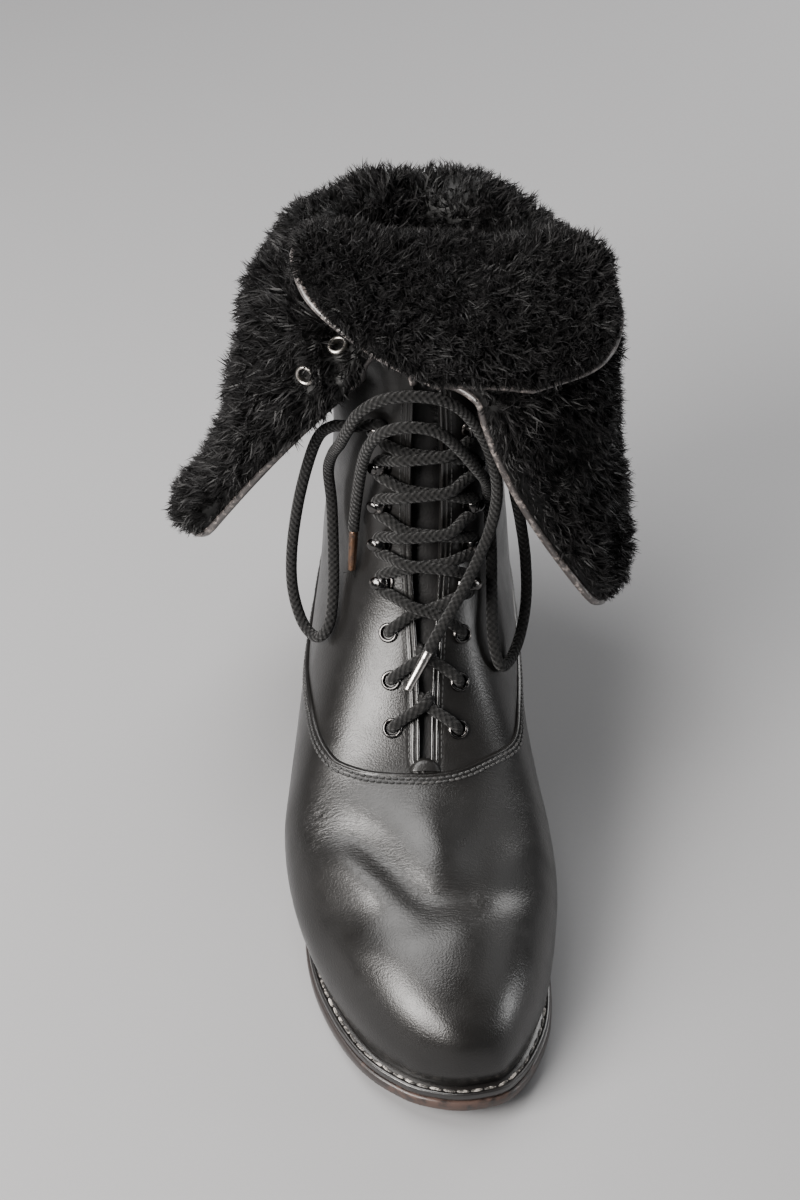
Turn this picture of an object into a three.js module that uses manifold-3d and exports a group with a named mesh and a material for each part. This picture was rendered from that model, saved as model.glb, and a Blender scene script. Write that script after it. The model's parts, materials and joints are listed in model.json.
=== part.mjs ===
// A right-foot laced boot: a leather foot and shaft on a welted leather sole with a stacked heel,
// fur inside, the top of the shaft turned down as a cuff and the tongue folded forward over the lacing.
// Millimetres. +X is the inner (medial) side, -Y is towards the toe, +Z is up.
// The origin is on the floor at the centre of the heel's tread.
import * as THREE from 'three';
import { mergeVertices } from 'three/addons/utils/BufferGeometryUtils.js';
import Module from 'manifold-3d';

const wasm = await Module();
wasm.setup();

// Driving dimensions
const GAP = 0.3; // clearance between neighbouring pieces
const WALL = 2.4; // upper leather with its backing
const OVERLAY = 1.1; // the vamp leather's rise over the quarters
const TOE_END = -260; // foremost point of the outsole
const OUTSOLE = 5.5; // outsole thickness
const WELT = 4.2; // welt thickness
const HEEL_HEIGHT = 26; // floor to the underside of the outsole at the heel
const LIFT = 6.5; // rubber top piece under the heel
const HEEL_BREAST = -35; // front face of the heel
const TREAD_FRONT = -188; // the forefoot rests on the floor between these two
const TREAD_BACK = -146;
const TOE_SPRING = 8; // rise of the outsole at the toe
const WELT_REACH = { toe: 5.6, waist: 3.4, heel: 3.2 }; // welt edge outside the upper's edge
const PILE = 8; // depth of the fur's dense part
const FUR_SEAT = 0.6; // clearance between the fur and the leather it grows on
const LACE = 4.6; // lace diameter
const EYELET = { hole: 2.4, barrel: 2.9, flange: 4.1, lip: 0.9, seat: 0.45, fromEdge: 10.5 };

// A table's rows with their columns named.
const table = (columns, rows) => rows.map(
  (values) => Object.fromEntries(columns.map((name, i) => [name, values[i]])));

// Sections of the foot and shaft, from the toe to the fold of the cuff. Each lies in a plane through a point
// on the front profile (top) and a point on the sole, heel or back profile (low), and is an oval across that
// plane: medial and lateral are its half widths, swing shifts it towards the inner side, widest is where
// along low to top the oval is widest, topFull and lowFull are how square its two ends are, gap is half the
// throat's opening.
const SECTIONS = table(
  ['name', 'topY', 'topZ', 'lowY', 'lowZ', 'medial', 'lateral',
    'swing', 'widest', 'topFull', 'lowFull', 'gap'],
  [
    ['toe point', -252.5, 18.6, -252.5, 18.6, 0, 0, 13, 0.5, 2.1, 2.1, 0],
    ['toe wall', -253, 27.5, -250, 10, 12.5, 12.5, 12.5, 0.5, 2.1, 2.1, 0],
    ['toe crown', -249, 39, -245, 2, 20, 20, 11, 0.48, 2.15, 2.1, 0],
    ['toe box', -237, 48, -236, -3, 29, 29, 8.5, 0.46, 2.2, 2.1, 0],
    ['toe back', -217, 54.5, -219, -4, 39, 39, 6, 0.45, 2.2, 2.1, 0],
    ['joint', -192, 59, -196, -3, 46.5, 48, 3, 0.45, 2.2, 2.1, 0],
    ['ball', -168, 64, -172, -1, 50.5, 53.5, 1, 0.46, 2.2, 2.1, 0],
    ['vamp point', -146, 72.2, -148, 1, 49.5, 55.5, 0, 0.46, 2.15, 2.1, 2.2],
    ['low instep', -130, 85, -122, 4, 45.5, 54, 0, 0.43, 2.1, 2.15, 2.5],
    ['instep', -116, 100, -88, 9, 41.5, 51.5, 0, 0.41, 2.05, 2.2, 3.2],
    ['high instep', -104.5, 114, -50, 15, 39.5, 49, 0, 0.42, 2, 2.3, 4.2],
    ['ankle front', -96, 128, -10, 18, 38.5, 46.5, 0, 0.44, 2, 2.4, 5.2],
    ['heel seat', -90, 140, 29.5, 22, 37, 44, 0, 0.45, 2, 2.5, 5.8],
    ['heel', -86, 151, 38, 54, 35, 42, 0, 0.47, 2.05, 2.5, 6],
    ['counter top', -83, 162, 37.5, 84, 33, 39.5, 0, 0.49, 2.1, 2.45, 6],
    ['tendon', -81, 172.5, 32, 113, 31.5, 37.5, 0, 0.5, 2.1, 2.4, 6],
    ['low shaft', -79.5, 183, 29, 141, 31, 37, 0, 0.5, 2.15, 2.3, 5.8],
    ['shaft', -77.5, 195, 30.5, 172, 32, 37.5, 0, 0.5, 2.2, 2.3, 5.4],
    ['shaft top', -75, 206, 34, 203, 34, 38.5, 0, 0.5, 2.2, 2.2, 5],
  ],
);
const row = (name) => SECTIONS.findIndex((section) => section.name === name);
const VAMP_POINT = row('vamp point');
const SHAFT_TOP = SECTIONS.length - 1;

// The turned-down cuff, station by station from the lateral front edge round the back to the medial one:
// shoulder is where the fold turns down and shoulderUp its height over the shaft's top, crestUp the rise of
// the fold, straight how directly the fall leaves the shoulder for the hem (0 drops first), and hem where the
// free edge hangs.
const CUFF_COLUMNS = [
  'name', 'shoulderX', 'shoulderY', 'shoulderUp', 'crestUp', 'straight', 'hemX', 'hemY', 'hemZ',
];
const CUFF = table(CUFF_COLUMNS, [
  ['lateral edge', -24, -76, 8, 13, 1.15, -92, -55, 111],
  ['lateral corner', -50, -66, 3, 12, 0.7, -97, -35, 114],
  ['lateral side', -60, -22, 0, 11, 0, -82, -6, 115],
  ['lateral back', -48, 28, 0, 14, 0, -60, 38, 115],
  ['back', 0, 47, 0, 16, 0, 0, 60, 115],
  ['medial back', 39, 32, 0, 10, 0, 59, 36, 113],
  ['medial side', 64, -22, 0, 9, 0, 72, -8, 108],
  ['medial corner', 56, -67, 0, 8, 0.2, 75, -50, 101],
  ['medial edge', 20, -86, 0, 4, 0.4, 72, -90, 102],
]);
const CORNER = { span: 0.075, cut: 12 }; // rounding of the cuff's two front corners, by share of its length

// The tongue above the shaft's mouth: the middle line's place, its half width, how far its edges lie back and
// down, and the roll towards the medial side.
const TONGUE = table(['name', 'x', 'y', 'z', 'half', 'back', 'down', 'roll'], [
  ['rise', 1, -61, 222, 38, 22, 0, 0],
  ['neck', 4, -54, 237, 46, 14, 2, 0.03],
  ['crest', 7, -52, 248, 54, 8, 4, 0.06],
  ['over', 9, -61, 252.5, 58, 5, 5, 0.08],
  ['flap', 14, -77, 246, 56.5, 4, 6, 0.09],
  ['flap low', 20.5, -90, 235, 41.5, 2, 4, 0.08],
  ['end', 20.5, -98, 226, 17.5, 0, 1, 0.06],
]);
const TONGUE_THICK = 1.8;
const TONGUE_SIDE = { bottom: 0.17, top: 0.42 }; // half width inside the boot, as a share of half the section
const TONGUE_INSET = { bottom: 1.3, top: 9 }; // clearance inside the upper's wall

// The seam between vamp and quarters, seen from the side, from above the vamp point to the back of the heel.
const SEAM = [
  [-150, 92], [-148.4, 71.6], [-143, 70.2], [-126, 70.5], [-96, 69.5],
  [-60, 67], [-20, 65.5], [20, 66], [60, 68],
];

// Small helpers

// A column of a table read between its rows, as a smooth curve through them.
function read(table, column, at) {
  const last = table.length - 1;
  const i = Math.min(Math.max(Math.floor(at), 0), last - 1);
  const t = at - i;
  const value = (k) => {
    if (k < 0) return 2 * table[0][column] - table[1][column];
    if (k > last) return 2 * table[last][column] - table[last - 1][column];
    return table[k][column];
  };
  const [a, b, c, d] = [value(i - 1), value(i), value(i + 1), value(i + 2)];
  const slopeB = (c - a) / 2;
  const slopeC = (d - b) / 2;
  const bend = 2 * (b - c) + slopeB + slopeC;
  return b + slopeB * t + (3 * (c - b) - 2 * slopeB - slopeC) * t * t + bend * t * t * t;
}

const mix = (a, b, t) => a + (b - a) * t;
const clamp = (v, low, high) => Math.min(Math.max(v, low), high);
const smooth = (t) => clamp(t, 0, 1) ** 2 * (3 - 2 * clamp(t, 0, 1));
const vec = (x, y, z) => new THREE.Vector3(x, y, z);
const steps = (count) => Array.from({ length: count + 1 }, (_, i) => i / count);

// The value in [low, high] where a falling function crosses zero.
function crossing(falls, low, high) {
  for (let i = 0; i < 40; i++) {
    const middle = (low + high) / 2;
    if (falls(middle) > 0) low = middle;
    else high = middle;
  }
  return (low + high) / 2;
}

// An open sheet of triangles whose equal points are shared.
class Sheet {
  constructor() {
    this.points = [];
    this.faces = [];
    this.known = new Map();
  }

  point(p) {
    const key = [p.x, p.y, p.z].map((v) => Math.round(v * 1e3)).join();
    if (!this.known.has(key)) {
      this.known.set(key, this.points.length);
      this.points.push(p.clone());
    }
    return this.known.get(key);
  }

  triangle(a, b, c) {
    if (a !== b && b !== c && c !== a) this.faces.push([a, b, c]);
  }

  // A grid of points as rows, with the faces towards row-direction cross column-direction turned out.
  grid(rows, flip = false, closed = false) {
    const ids = rows.map((r) => r.map((p) => this.point(p)));
    for (let i = 0; i + 1 < ids.length; i++) {
      const across = ids[i].length - (closed ? 0 : 1);
      for (let j = 0; j < across; j++) {
        const k = (j + 1) % ids[i].length;
        const quad = [ids[i][j], ids[i][k], ids[i + 1][k], ids[i + 1][j]];
        if (flip) quad.reverse();
        this.triangle(quad[0], quad[1], quad[2]);
        this.triangle(quad[0], quad[2], quad[3]);
      }
    }
    return this;
  }

  normals() {
    const found = this.points.map(() => vec(0, 0, 0));
    for (const [a, b, c] of this.faces) {
      const [p, q, r] = [this.points[a], this.points[b], this.points[c]];
      const n = q.clone().sub(p).cross(r.clone().sub(p));
      for (const k of [a, b, c]) found[k].add(n);
    }
    return found.map((n) => n.normalize());
  }

  // A closed solid between the sheet moved by low and by high along its normals. Each is a number or a
  // function of the point's own index.
  thicken(low, high) {
    const lift = (by, k) => (typeof by === 'function' ? by(k) : by);
    const normals = this.normals();
    const count = this.points.length;
    const moved = (by) => this.points.map((p, k) => p.clone().addScaledVector(normals[k], lift(by, k)));
    const points = [...moved(high), ...moved(low)];
    const faces = [];
    const edges = new Set(this.faces.flatMap(([a, b, c]) => [`${a} ${b}`, `${b} ${c}`, `${c} ${a}`]));
    for (const [a, b, c] of this.faces) {
      faces.push([a, b, c], [a + count, c + count, b + count]);
      for (const [p, q] of [[a, b], [b, c], [c, a]]) {
        if (!edges.has(`${q} ${p}`)) faces.push([q, p, p + count], [q, p + count, q + count]);
      }
    }
    return geometryOf(points, faces);
  }
}

function geometryOf(points, faces) {
  const geometry = new THREE.BufferGeometry();
  const places = points.flatMap((p) => [p.x, p.y, p.z]);
  geometry.setAttribute('position', new THREE.Float32BufferAttribute(places, 3));
  geometry.setIndex(faces.flat());
  return geometry;
}

function solidOf(geometry) {
  const bare = geometry.index ? geometry.toNonIndexed() : geometry.clone();
  for (const name of Object.keys(bare.attributes)) if (name !== 'position') bare.deleteAttribute(name);
  const merged = mergeVertices(bare, 1e-3);
  const vertProperties = merged.attributes.position.array;
  const triVerts = new Uint32Array(merged.index.array);
  return new wasm.Manifold(new wasm.Mesh({ numProp: 3, vertProperties, triVerts }));
}

// The geometry of a solid, without the slivers that cutting and joining leave.
const SLIVER = 0.05;
function geometryOfSolid(solid) {
  const mesh = solid.asOriginal().simplify(SLIVER).getMesh();
  const geometry = new THREE.BufferGeometry();
  geometry.setAttribute('position', new THREE.BufferAttribute(mesh.vertProperties, 3));
  geometry.setIndex(new THREE.BufferAttribute(mesh.triVerts, 1));
  return geometry;
}

// A geometry built along +Z, placed at a point with its +Z along a direction.
const UP = vec(0, 0, 1);
function placed(geometry, point, direction) {
  const turn = new THREE.Quaternion().setFromUnitVectors(UP, direction);
  return geometry.clone().applyMatrix4(new THREE.Matrix4().compose(point, turn, vec(1, 1, 1)));
}

// A round tube with closed ends along points.
function tube(points, diameter, count, sides = 8) {
  const circle = new THREE.Shape();
  circle.absarc(0, 0, diameter / 2, 0, 2 * Math.PI);
  const extrudePath = new THREE.CatmullRomCurve3(points, false, 'centripetal');
  return new THREE.ExtrudeGeometry(circle, { steps: count, extrudePath, curveSegments: sides / 2 });
}

// The sole's own lines

// Height of the outsole's underside above the floor.
function soleLine(y) {
  if (y > HEEL_BREAST) return HEEL_HEIGHT;
  if (y > TREAD_BACK) return HEEL_HEIGHT * smooth((TREAD_BACK - y) / (TREAD_BACK - HEEL_BREAST));
  if (y > TREAD_FRONT) return 0;
  return TOE_SPRING * ((TREAD_FRONT - y) / (TREAD_FRONT - TOE_END)) ** 1.8;
}
const featherLine = (y) => soleLine(y) + OUTSOLE + WELT + 2 * GAP; // the upper's lower edge

// The last: the upper's outer surface

// A point on section s, on one side (+1 medial, -1 lateral), turned from the front profile (0) to the low one
// (1).
function last(s, side, turn) {
  const get = (column) => read(SECTIONS, column, s);
  const along = Math.cos(Math.PI * turn);
  const across = Math.sin(Math.PI * turn);
  const power = 2 / (along > 0 ? get('topFull') : get('lowFull'));
  const reach = Math.sign(along) * Math.abs(along) ** power;
  const widest = get('widest');
  const share = widest + (reach > 0 ? (1 - widest) * reach : widest * reach);
  const half = side > 0 ? get('medial') : get('lateral');
  const width = Math.max(across, 0) ** power * half;
  const x = get('swing') + side * width;
  return vec(x, mix(get('lowY'), get('topY'), share), mix(get('lowZ'), get('topZ'), share));
}

// The turn at which a section reaches the sole's edge, or a height below it, or 1 where it closes behind.
function featherTurn(s, below = 0) {
  const above = (turn) => {
    const p = last(s, 1, turn);
    return p.z - featherLine(p.y) + below;
  };
  return above(1) > 0 ? 1 : crossing(above, 0, 1);
}

// The turn at which a section is a given distance from the middle of its front profile.
function turnAt(s, side, distance) {
  const inside = (turn) => distance - Math.abs(last(s, side, turn).x - read(SECTIONS, 'swing', s));
  return crossing(inside, 0, 0.5);
}

const throatTurn = (s, side) => (s <= VAMP_POINT ? 0 : turnAt(s, side, read(SECTIONS, 'gap', s)));

// The outward normal of the last at a point.
function lastNormal(s, side, turn) {
  const small = 0.02;
  const alongS = last(s + small, side, turn).sub(last(s - small, side, turn));
  const alongTurn = last(s, side, turn + small).sub(last(s, side, turn - small));
  return alongTurn.cross(alongS).multiplyScalar(side).normalize();
}

// The cuff: a fold over the shaft's top and a fall to the hem. around runs from 0 at the lateral front edge,
// round the back, to 1 at the medial one, and down from 0 at the shaft's top to 1 at the hem.
const FOLD_SHARE = 0.34; // the part of the cuff's length that is the fold
const stationOf = (around) => around * (CUFF.length - 1);
function cuff(around, down) {
  const get = (column) => read(CUFF, column, stationOf(around));
  const side = around < 0.5 ? -1 : 1;
  const turn = mix(throatTurn(SHAFT_TOP, side), 1, 1 - Math.abs(2 * around - 1));
  const base = last(SHAFT_TOP, side, turn);
  const fromEdge = Math.min(around, 1 - around) / CORNER.span;
  const corner = fromEdge < 1 ? CORNER.cut * (1 - Math.sqrt(1 - (1 - fromEdge) ** 2)) : 0;
  const hem = vec(get('hemX'), get('hemY'), get('hemZ'));
  const shoulder = vec(get('shoulderX'), get('shoulderY'), base.z + get('shoulderUp'));
  if (down < FOLD_SHARE) {
    const angle = (Math.PI * down) / FOLD_SHARE;
    const middle = base.clone().lerp(shoulder, (1 - Math.cos(angle)) / 2);
    return middle.setZ(middle.z + get('crestUp') * Math.sin(angle));
  }
  const t = ((down - FOLD_SHARE) / (1 - FOLD_SHARE)) * (1 - corner / hem.distanceTo(shoulder));
  const bulge = shoulder.clone().lerp(hem, 0.42 * get('straight'));
  bulge.z = mix(shoulder.z, hem.z, 0.42);
  const fall = shoulder.multiplyScalar((1 - t) ** 2);
  return fall.addScaledVector(bulge, 2 * t * (1 - t)).addScaledVector(hem, t * t);
}

// Upper

const HALF_COLUMNS = 9;
const TRIM = 2; // leather below the sole's edge that is cut off level with it
// The section that closes at a height below the sole's edge behind the heel.
const closing = (below) => crossing(
  (s) => featherLine(read(SECTIONS, 'lowY', s)) - below - read(SECTIONS, 'lowZ', s), 11, 14);
const HEEL_CLOSE = closing(0);
const TOE_CLOSE = crossing((s) => read(SECTIONS, 'lowZ', s) - featherLine(read(SECTIONS, 'lowY', s)), 0, 1);
const FOOT_ROWS = [
  0, 0.45, 1, 1.5, 2, 2.7, 3.5, 4.3, 5.1, 6, 6.6, VAMP_POINT, 7.3, 8, 9, 10, 11, 11.6,
  12, 12.22, closing(TRIM) - 0.07, closing(TRIM), 13, 14, 15, 16, 17, SHAFT_TOP,
];
const CUFF_ROWS = [0.085, 0.17, 0.255, FOLD_SHARE, 0.5, 0.66, 0.83, 1];

// One side of the foot and shaft as rows of points from the front to the sole or the back.
function footRows(side, sections, throat = throatTurn) {
  return sections.map((s) => {
    const from = throat(s, side);
    const to = featherTurn(s, TRIM);
    return steps(HALF_COLUMNS).map((share) => last(s, side, mix(from, to, share)));
  });
}

// The same columns carried over the fold and down the cuff.
function cuffRows(side, downs) {
  return downs.map((down) => steps(HALF_COLUMNS).map((share) => {
    const around = share / 2;
    return cuff(side < 0 ? around : 1 - around, down);
  }));
}

function upperSheet() {
  const sheet = new Sheet();
  for (const side of [1, -1]) {
    sheet.grid([...footRows(side, FOOT_ROWS), ...cuffRows(side, CUFF_ROWS)], side < 0);
  }
  return sheet;
}

// A form as wide as the boot whose side view is an outline of Y and Z.
function sideForm(outlinePoints) {
  const shape = new THREE.Shape(outlinePoints.map(([y, z]) => new THREE.Vector2(y, z)));
  const form = new THREE.ExtrudeGeometry(shape, { depth: 240, bevelEnabled: false });
  // The outline's own x and y become the boot's Y and Z, and its depth the boot's X.
  form.applyMatrix4(new THREE.Matrix4().makeBasis(vec(0, 1, 0), vec(0, 0, 1), vec(1, 0, 0)));
  return solidOf(form.translate(-120, 0, 0));
}

// Everything under the upper's lower edge.
function underFeather() {
  const edge = steps(40).map((t) => mix(-290, 60, t)).map((y) => [y, featherLine(y)]);
  return sideForm([[-290, -40], [60, -40], ...edge.reverse()]);
}

// The vamp and counter leather below the seam, standing proud of the quarters.
function galosh() {
  const sheet = new Sheet();
  const sections = FOOT_ROWS.filter((s) => s <= 15);
  for (const side of [1, -1]) sheet.grid(footRows(side, sections, () => 0), side < 0);
  const below = sideForm([[-300, SEAM[0][1]], ...SEAM, [80, -40], [-300, -40]]);
  return solidOf(sheet.thicken(-WALL / 2, OVERLAY)).intersect(below);
}

// Places along the throat for eyelets and hooks

// The section at a distance along the front profile from the vamp point.
function sectionAlong(distance) {
  const profile = (s) => vec(0, read(SECTIONS, 'topY', s), read(SECTIONS, 'topZ', s));
  const step = 0.02;
  let s = VAMP_POINT;
  for (let gone = 0; gone < distance && s < SHAFT_TOP; s += step) {
    gone += profile(s + step).distanceTo(profile(s));
  }
  return s;
}

const EYELET_ROWS = [18, 37, 56];
const HOOK_ROWS = [76, 91.5, 107, 123.5, 139];

// A point on the quarters beside the throat, with its normal, raised off the leather.
function besideThroat(along, side, fromEdge, lift = 0) {
  const s = sectionAlong(along);
  const turn = turnAt(s, side, read(SECTIONS, 'gap', s) + fromEdge);
  const normal = lastNormal(s, side, turn);
  return { point: last(s, side, turn).addScaledVector(normal, lift), normal };
}

// Eyelets in the turned cuff, set from its fur side.
const CUFF_EYELETS = table(['down', 'fromFront'], [[0.21, 0.053], [0.31, 0.087]]);
function onCuff(around, down) {
  const small = 0.01;
  const alongDown = cuff(around, down + small).sub(cuff(around, down - small));
  const alongAround = cuff(around + small, down).sub(cuff(around - small, down));
  return { point: cuff(around, down), normal: alongDown.cross(alongAround).normalize().negate() };
}

// A flanged ring through the wall: its flange stands on the face and its barrel ends short of the lining.
function eyeletRing() {
  const { hole, barrel, flange, lip, seat } = EYELET;
  const profile = [
    [hole, -WALL], [barrel, -WALL], [barrel, seat], [flange, seat], [(hole + flange) / 2, seat + lip],
    [hole, seat + 0.5 * lip], [hole, -WALL],
  ].map(([r, z]) => new THREE.Vector2(r, z));
  return new THREE.LatheGeometry(profile, 8).rotateX(Math.PI / 2);
}

// A lacing hook: a round base and a lip that rises by the throat and curls out over the lace.
const HOOK = { base: 4, plate: 0.9, width: 4.6, thick: 1.1, rise: 5.4, reach: 4.6 };
function hookForm() {
  const { base, plate, width, thick, rise, reach } = HOOK;
  const disc = new THREE.CylinderGeometry(base, base, plate, 8).rotateX(Math.PI / 2);
  disc.translate(0, 0, GAP + plate / 2);
  const lip = new THREE.Shape();
  const middle = (GAP + plate + rise) / 2;
  const bow = rise / 2 - GAP / 2;
  lip.moveTo(0, GAP + plate / 2);
  lip.absarc(0, middle, bow, -Math.PI / 2, Math.PI / 2, false);
  lip.lineTo(-reach, rise + 0.2);
  lip.lineTo(-reach, rise - thick);
  lip.absarc(0, middle, bow - thick, Math.PI / 2, -Math.PI / 2, true);
  const blade = new THREE.ExtrudeGeometry(lip, { depth: width, bevelEnabled: false, curveSegments: 3 });
  blade.rotateX(Math.PI / 2).translate(0, width / 2, 0);
  return geometryOfSolid(solidOf(disc).add(solidOf(blade)));
}

// The hook's frame on the leather: z out of it, x towards the throat.
function hookPlaced(along, side) {
  const { point, normal } = besideThroat(along, side, EYELET.fromEdge);
  const inward = vec(-side, 0, 0).addScaledVector(normal, side * normal.x).normalize();
  const basis = new THREE.Matrix4().makeBasis(inward, normal.clone().cross(inward), normal);
  return hookForm().applyMatrix4(basis.setPosition(point));
}

// Lace

// Each crossing joins two strands between neighbouring rows: a strand leaves its row on one side and reaches
// the next row on the other. start and end are its distances from the throat there, seat its height over the
// leather and over its height at the middle of the throat.
const CROSSINGS = table(['from', 'to', 'start', 'end', 'seat', 'over'], [
  [18, 30, 7, 1.5, 3.4, 3.6],
  [37, 49, 7, 1.5, 3.4, 3.6],
  [56, 73, 7, 4, 3.4, 4.2],
  [79, 89, 3.9, 3.9, 2.4, 4.4],
  [94, 104.5, 3.9, 3.9, 2.4, 4.4],
  [110, 121, 3.9, 3.9, 2.4, 4.4],
  [127, 136.5, 3.9, 3.9, 2.4, 4.4],
]);

function crossing3d({ from, to, start, end, seat, over }) {
  const strand = (side) => {
    const first = besideThroat(from, side, start, seat).point;
    const edge = besideThroat(mix(from, to, 0.35), side, 0.5, over).point;
    const far = besideThroat(mix(from, to, 0.65), -side, 0.5, over).point;
    const final = besideThroat(to, -side, end, seat).point;
    return solidOf(tube([first, edge, far, final], LACE, 3, 6));
  };
  return geometryOfSolid(strand(1).add(strand(-1)));
}

// The two free ends, from beside their top hooks, under the cuff and down as loops to their metal tips.
const LATERAL_END = [
  [-26, -74.3, 188.5], [-31, -71.8, 186.5], [-36, -67.5, 183], [-41.5, -62, 174], [-46, -60.5, 160],
  [-50.5, -64.5, 142], [-53.5, -70, 122], [-53.5, -76, 106], [-49.5, -84, 94.5], [-43.5, -90.5, 92.5],
  [-38.5, -91, 100], [-36.8, -82.5, 110], [-36.8, -70.5, 120.5], [-37.4, -59.5, 137], [-38.5, -57, 152],
  [-36.5, -64, 166], [-33, -74.5, 180], [-30, -80.5, 191], [-25.5, -84, 202], [-18, -86, 209.5],
  [-8.5, -87, 212.5], [1.5, -87, 212], [10, -85.5, 207.5], [17, -83.5, 198.5], [23.6, -82.3, 184],
  [27.4, -83.2, 166], [26, -85.5, 150], [21, -92, 137.5], [13, -104.5, 127.5], [5.2, -114.5, 118.5],
  [1, -119.5, 112.5],
];
const MEDIAL_END = [
  [24.5, -72.5, 188], [29, -67.5, 184], [31.5, -61.5, 176], [33, -59.5, 163], [35, -60, 148],
  [38.5, -62, 130], [41, -66, 113], [41.5, -74, 98], [39, -85, 88.5], [34.5, -98, 87],
  [30, -106.5, 92.5], [27, -101.5, 103.5], [26.6, -88, 116], [26.4, -76.5, 128], [25.5, -72, 141],
  [24.4, -73, 153.5], [23.2, -78.2, 164.5],
  [19.5, -84, 175], [13.5, -87.5, 186.5], [6, -89.5, 196.5], [-2, -90.5, 200.5], [-10, -90.5, 200.5],
  [-17, -89, 196.5], [-21.8, -86, 188], [-24.5, -81.5, 175], [-26.5, -77.5, 158], [-28, -76, 143.5],
  [-28.3, -77.5, 138.5],
];
const AGLET = { radius: 1.9, length: 17 };

function freeEnd(route) {
  return tube(route.map(([x, y, z]) => vec(x, y, z)), LACE, 30);
}

// A metal tip carrying on from the end of a route.
function aglet(route) {
  const [before, end] = route.slice(-2).map(([x, y, z]) => vec(x, y, z));
  const along = end.clone().sub(before).normalize();
  const { radius, length } = AGLET;
  const form = new THREE.CylinderGeometry(radius * 0.85, radius, length, 8).rotateX(Math.PI / 2);
  return placed(form, end.addScaledVector(along, length / 2 + GAP), along);
}

// Sole pieces

// Pairs of points on the upper's edge at the sole, from toe to heel, moved out from it by a distance.
const EDGE_ROWS = [
  ...[0, 0.015, 0.05, 0.14, 0.3, 0.55].map((past) => TOE_CLOSE + past),
  1.1, 1.5, 2.1, 2.8, 3.5, 4.3, 5.1, 5.8, 6.5, 7, 7.4, 7.8, 8.2, 8.55, 8.9, 9.3, 9.7, 10.1, 10.6, 11.1,
  ...[0.8, 0.5, 0.28, 0.14, 0.055, 0.015, 0].map((short) => HEEL_CLOSE - short),
];
function edgeLine(side) {
  return EDGE_ROWS.map((s) => {
    const p = last(s, side, featherTurn(s));
    return new THREE.Vector2(p.x, p.y);
  });
}

// The reach of the welt at a place along the foot.
function weltReach(y) {
  const { toe, waist, heel } = WELT_REACH;
  return y < -130 ? mix(waist, toe, smooth((-130 - y) / 40)) : mix(waist, heel, smooth((y + 60) / 40));
}

// A closed outline round the foot, clockwise from above: toe, medial side, heel, lateral side.
function outline(moveOut) {
  const loop = [...edgeLine(1), ...edgeLine(-1).reverse().slice(1, -1)];
  return loop.map((p, i) => {
    const before = loop[(i + loop.length - 1) % loop.length];
    const after = loop[(i + 1) % loop.length];
    const along = after.clone().sub(before).normalize();
    return p.clone().add(new THREE.Vector2(along.y, -along.x).multiplyScalar(moveOut(p.y)));
  });
}

// A plate inside an outline, between two heights that follow the foot's length.
function plate(loop, low, high) {
  const count = loop.length / 2;
  const pairs = steps(count).map((share) => {
    const k = Math.round(share * count);
    return [loop[k], loop[(loop.length - k) % loop.length]];
  });
  const rows = (height) => pairs.map(
    ([medial, lateral]) => [lateral, medial].map((p) => vec(p.x, p.y, height(p.y))));
  return closedBetween(rows(low), rows(high));
}

// A closed solid between two grids of points that match point for point, the second above the first.
function closedBetween(low, high, closed = false) {
  const sheet = new Sheet().grid(high, false, closed);
  const heights = new Map();
  high.forEach((r, i) => r.forEach((p, j) => heights.set(sheet.point(p), low[i][j])));
  const count = sheet.points.length;
  const points = [...sheet.points, ...sheet.points.map((_, k) => heights.get(k))];
  const edges = new Set(sheet.faces.flatMap(([a, b, c]) => [`${a} ${b}`, `${b} ${c}`, `${c} ${a}`]));
  const faces = [];
  for (const [a, b, c] of sheet.faces) {
    faces.push([a, b, c], [a + count, c + count, b + count]);
    for (const [p, q] of [[a, b], [b, c], [c, a]]) {
      if (!edges.has(`${q} ${p}`)) faces.push([q, p, p + count], [q, p + count, q + count]);
    }
  }
  return geometryOf(points, faces);
}

// A ring between two outlines of the same count.
function ring(outer, inner, low, high) {
  const rows = (height) => [outer, inner].map((loop) => loop.map((p) => vec(p.x, p.y, height(p.y))));
  return closedBetween(rows(low), rows(high), true);
}

const outsoleTop = (y) => soleLine(y) + OUTSOLE;
const weltLow = (y) => outsoleTop(y) + GAP;
const weltTop = (y) => featherLine(y) - GAP;

function outsole() {
  return plate(outline((y) => weltReach(y) + 0.7), soleLine, outsoleTop);
}

function welt() {
  return ring(outline(weltReach), outline(() => -8), weltLow, weltTop);
}

function insole() {
  const top = plate(outline(() => -WALL - 4.4), (y) => featherLine(y) + GAP, (y) => featherLine(y) + 2.8);
  const core = plate(outline(() => -8 - GAP), weltLow, (y) => featherLine(y) + 1);
  return geometryOfSolid(solidOf(top).add(solidOf(core)));
}

// A block of the heel between two heights, as wide as the outsole there less a taper.
function heelBlock(low, high, inset) {
  const loop = outline((y) => weltReach(y) + 0.7 - inset);
  const shape = new THREE.Shape(loop.filter((p) => p.y > HEEL_BREAST));
  return new THREE.ExtrudeGeometry(shape, { depth: high - low, bevelEnabled: false }).translate(0, 0, low);
}

const heelStack = () => heelBlock(LIFT + GAP, HEEL_HEIGHT - GAP, 0.8);
const heelLift = () => heelBlock(0, LIFT, 1.2);

// Tongue

const TONGUE_COLUMNS = 8;
const TONGUE_START = VAMP_POINT - 0.6;
const TONGUE_ROWS = [TONGUE_START, VAMP_POINT, 8, 9, 10, 11.5, 13, 14.5, 16, 17, SHAFT_TOP];

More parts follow.
